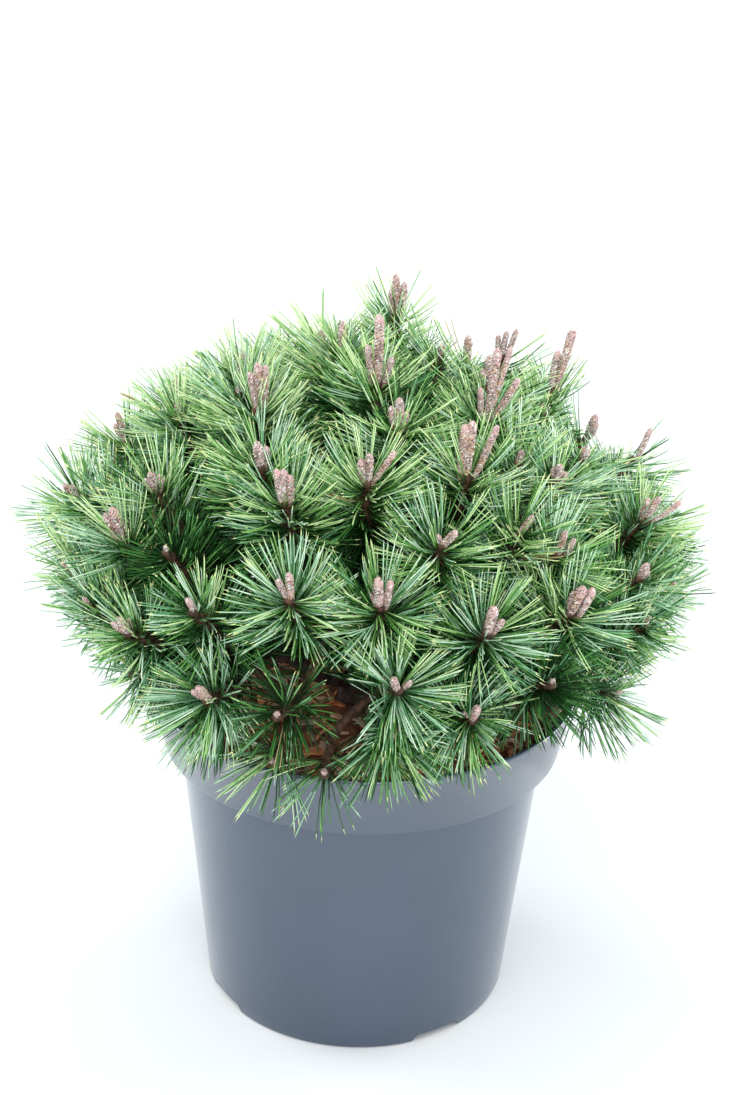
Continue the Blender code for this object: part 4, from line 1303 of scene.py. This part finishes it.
# Materials
def finish(name, colour, roughness):
    """A new material with its shader's colour and roughness set."""
    made = bpy.data.materials.new(name)
    made.use_nodes = True
    shader = made.node_tree.nodes["Principled BSDF"]
    shader.inputs["Base Color"].default_value = (*colour, 1.0)
    shader.inputs["Roughness"].default_value = roughness
    return made, made.node_tree, shader


def node(tree, kind, inputs=(), **settings):
    """A new shader node; each input is a socket to link or a plain value."""
    made = tree.nodes.new("ShaderNode" + kind)
    for name, value in settings.items():
        setattr(made, name, value)
    for name, value in dict(inputs).items():
        socket = made.inputs[name]
        if isinstance(value, bpy.types.NodeSocket):
            tree.links.new(value, socket)
        else:
            socket.default_value = (*value, 1.0) if socket.type == "RGBA" else value
    return made


def noise(tree, scale, detail=3.0, stretch=(1.0, 1.0, 1.0)):
    """Fine grain in the object's own coordinates."""
    place = node(tree, "TexCoord").outputs["Object"]
    shape = node(tree, "Mapping", {"Vector": place, "Scale": stretch}).outputs["Vector"]
    return node(tree, "TexNoise", {"Vector": shape, "Scale": scale, "Detail": detail}).outputs["Fac"]


def ramp(tree, source, stops):
    """Colours along a value from 0 to 1."""
    made = node(tree, "ValToRGB", {"Fac": source})
    elements = made.color_ramp.elements
    while len(elements) < len(stops):
        elements.new(0.5)
    for element, (position, colour) in zip(elements, stops):
        element.position = position
        element.color = (*colour, 1.0)
    return made.outputs["Color"]


def bump(tree, shader, source, strength, distance):
    inputs = {"Height": source, "Strength": strength, "Distance": distance}
    tree.links.new(node(tree, "Bump", inputs).outputs["Normal"], shader.inputs["Normal"])


def map_range(tree, source, low, high, name="To"):
    """A value from 0 to 1 spread from low to high, or with the name From the other way round."""
    inputs = {"Value": source, name + " Min": low, name + " Max": high}
    return node(tree, "MapRange", inputs).outputs["Result"]


def vary_roughness(tree, shader, source, low, high):
    tree.links.new(map_range(tree, source, low, high), shader.inputs["Roughness"])


def needle_finish(name, colour):
    """Waxy needle: the paler ones shine, the shaded ones don't."""
    made, tree, shader = finish(name, colour, 0.34)
    vary_roughness(tree, shader, noise(tree, 300.0), 0.26, 0.42)
    shader.inputs["Specular IOR Level"].default_value = 0.55 if colour[1] > 0.40 else 0.18
    return made


def candle_finish(name, colour):
    made, tree, shader = finish(name, colour, 0.60)
    grain = noise(tree, 900.0)
    vary_roughness(tree, shader, grain, 0.45, 0.75)
    bump(tree, shader, grain, 0.4, 0.0003)
    return made


def bark_finish(name, dark, light, grain_scale):
    """Rough bark: light ridges over dark cracks."""
    made, tree, shader = finish(name, light, 0.85)
    grain = noise(tree, grain_scale, 6.0, (1.0, 1.0, 0.5))
    middle = tuple(0.5 * (a + b) for a, b in zip(dark, light))
    colours = ramp(tree, grain, ((0.35, dark), (0.52, middle), (0.68, light)))
    tree.links.new(colours, shader.inputs["Base Color"])
    bump(tree, shader, grain, 0.8, 0.0012)
    return made


def mixed(tree, factor, first, second, kind="MIX"):
    """Blend of two colours; each is a socket or a plain colour."""
    inputs = {"Factor": factor, "A": first, "B": second}
    return node(tree, "Mix", inputs, data_type="RGBA", blend_type=kind).outputs["Result"]


def pot_finish():
    """Satin blue-grey moulded plastic, darker towards the foot, with faint scuffs and dust."""
    made, tree, shader = finish("moulded_plastic", (0.070, 0.098, 0.142), 0.24)
    shader.inputs["Specular IOR Level"].default_value = 0.8
    shader.inputs["Coat Weight"].default_value = 0.45
    shader.inputs["Coat Roughness"].default_value = 0.12
    place = node(tree, "TexCoord").outputs["Object"]
    height = node(tree, "SeparateXYZ", {"Vector": place}).outputs["Z"]
    rise = map_range(tree, height, 0.0, POT_HEIGHT, "From")
    stops = ((0.0, (0.020, 0.041, 0.077)), (0.35, (0.032, 0.055, 0.096)), (0.85, (0.044, 0.068, 0.110)))
    body = ramp(tree, rise, stops)
    shading = ramp(tree, noise(tree, 14.0, 4.0), ((0.30, (0.90, 0.90, 0.90)), (0.75, (1.0, 1.0, 1.0))))
    plain = mixed(tree, 1.0, body, shading, "MULTIPLY")
    specks = node(tree, "TexVoronoi", {"Vector": place, "Scale": 150.0}).outputs["Distance"]
    spots = ramp(tree, specks, ((0.0, (0.30, 0.30, 0.30)), (0.07, (0.0, 0.0, 0.0))))
    tree.links.new(mixed(tree, spots, plain, (0.42, 0.42, 0.40)), shader.inputs["Base Color"])
    vary_roughness(tree, shader, noise(tree, 60.0, 5.0, (1.0, 1.0, 0.25)), 0.17, 0.27)
    bump(tree, shader, noise(tree, 700.0), 0.04, 0.0003)
    return made


def soil_finish():
    made, tree, shader = finish("potting_mix", (0.02, 0.013, 0.009), 0.95)
    grain = noise(tree, 260.0, 5.0)
    colours = ramp(tree, grain, ((0.35, (0.008, 0.005, 0.004)), (0.7, (0.045, 0.028, 0.018))))
    tree.links.new(colours, shader.inputs["Base Color"])
    bump(tree, shader, grain, 0.9, 0.002)
    return made


# Stage, light and camera
def make_floor():
    """A pale floor, painted a little lighter under the pot against the shade of the crown, and far away
    against the fading light.
    """
    made, tree, shader = finish("pale_floor", (0.62, 0.64, 0.66), 0.9)
    place = node(tree, "TexCoord").outputs["Object"]
    reach = node(tree, "VectorMath", {0: place}, operation="LENGTH").outputs["Value"]
    share = map_range(tree, reach, 0.12, 2.0, "From")
    stops = (
        (0.0, (0.660, 0.680, 0.700)),
        (0.09, (0.590, 0.612, 0.632)),
        (0.24, (0.500, 0.520, 0.538)),
        (0.45, (0.540, 0.556, 0.570)),
        (1.0, (0.700, 0.705, 0.710)),
    )
    tree.links.new(ramp(tree, share, stops), shader.inputs["Base Color"])
    corners = []
    for x, y in ((-1, -1), (1, -1), (1, 1), (-1, 1)):
        corners.append((x * FLOOR_REACH, y * FLOOR_REACH, -FLOOR_GAP))
    floor = plain_object("floor", corners, [(0, 1, 2, 3)], made)


def add_light(kind, name, strength, colour, toward, **settings):
    """A light that shines along a direction."""
    light = bpy.data.lights.new(name, kind)
    light.energy = strength
    light.color = colour
    for setting, value in settings.items():
        setattr(light, setting, value)
    made = bpy.data.objects.new(name, light)
    made.rotation_euler = toward.to_track_quat("-Z", "Y").to_euler()
    bpy.context.scene.collection.objects.link(made)
    return made


def area_light(name, place, size, power):
    toward = Vector(LIT_PLACE) - Vector(place)
    light = add_light("AREA", name, power, (1.0, 1.0, 1.0), toward, shape="SQUARE", size=size)
    light.location = place


def soft_sun(name, place, strength, spread, colour):
    add_light("SUN", name, strength, colour, -Vector(place), angle=math.radians(spread))


def make_lights():
    """A pale, slightly blue surround, two broad warm suns from above and three soft boxes."""
    world = bpy.data.worlds.new("studio")
    world.use_nodes = True
    sky = world.node_tree.nodes["Background"]
    sky.inputs["Color"].default_value = (0.925, 0.96, 1.0, 1.0)
    sky.inputs["Strength"].default_value = 1.0
    bpy.context.scene.world = world
    soft_sun("key", (-0.7, -1.4, 2.0), 1.15, 45.0, (1.0, 0.985, 0.93))
    soft_sun("top", (0.2, 0.1, 2.5), 0.95, 60.0, (1.0, 0.975, 0.86))
    area_light("front", (0.5, -2.3, 1.1), 1.3, 28.0)
    area_light("left", (-1.70, 0.75, 0.6), 1.3, 34.0)
    area_light("right", (1.70, 0.75, 0.6), 1.3, 29.0)
    bpy.context.scene.view_settings.view_transform = "Standard"
    bpy.context.scene.view_settings.look = "None"


def make_camera():
    """The photograph's point of view: 1.27 m in front, 0.92 m up, looking down a little."""
    data = bpy.data.cameras.new("camera")
    data.sensor_fit = "VERTICAL"
    data.sensor_height = 36.0
    data.sensor_width = 24.0
    data.lens = CAMERA_LENS
    data.clip_start = 0.05
    data.clip_end = 50.0
    forward = Vector((0.0, math.cos(CAMERA_PITCH), -math.sin(CAMERA_PITCH)))
    right = Vector((1.0, 0.0, 0.0))
    down = forward.cross(right)
    rolled_right = math.cos(CAMERA_ROLL) * right + math.sin(CAMERA_ROLL) * down
    rolled_down = math.cos(CAMERA_ROLL) * down - math.sin(CAMERA_ROLL) * right
    camera = bpy.data.objects.new("camera", data)
    turn = Matrix((rolled_right, -rolled_down, -forward)).transposed()
    camera.matrix_world = Matrix.Translation(Vector(VIEWPOINT)) @ turn.to_4x4()
    bpy.context.scene.collection.objects.link(camera)
    bpy.context.scene.camera = camera


def make_foliage(boughs, masses):
    """Needles of every mass, joined by tier and side so that no piece grows too large."""
    needles = [needle_finish(name, colour) for name, colour in NEEDLE_TINTS]
    lines = candle_lines(masses)
    groups = {}
    for name, start, end, shoots in masses:
        tier, _, number = name.partition("_")
        half = "a" if not number or int(number) <= 4 else "b"
        groups.setdefault(f"{tier}_{half}", []).append((name, shoots))
    for group, members in groups.items():
        batch = Batch()
        for name, shoots in members:
            for shoot in shoots:
                grow_needles(batch, shoot, lines)
            number = [bough[0] for bough in boughs].index(name)
            grow_inner_needles(batch, boughs[number], number)
        nodes = [f"needles_{name}" for name, shoots in members]
        batch.build(f"needles_{group}", needles, nodes, smooth=True)


def make_candles(masses):
    batch = Batch()
    for name, start, end, shoots in masses:
        for shoot in shoots:
            add_candle(batch, shoot)
    finishes = [candle_finish(name, colour) for name, colour in CANDLE_TINTS]
    batch.build("candles", finishes, smooth=False)


def main():
    boughs = plan_boughs()
    masses = plan_masses(boughs)
    make_camera()
    make_lights()
    make_floor()
    bark = bark_finish("pine_bark", (0.012, 0.008, 0.006), (0.080, 0.045, 0.032), 160.0)
    young_bark = bark_finish("young_bark", (0.022, 0.011, 0.007), (0.130, 0.062, 0.032), 300.0)
    make_trunk(bark)
    make_boughs(boughs, bark)
    make_twigs(masses, young_bark)
    make_foliage(boughs, masses)
    make_candles(masses)
    make_pot(pot_finish())
    mulch_base = bark_finish("mulch_dark", (0.110, 0.044, 0.024), (0.420, 0.170, 0.080), 120.0)
    chips = [bark_finish(name, dark, light, 200.0) for name, dark, light in CHIP_COLOURS]
    make_mulch(mulch_base, chips)
    medium = frame["nodes"]["growing_medium"].data
    medium.materials.clear()
    medium.materials.append(soil_finish())


main()
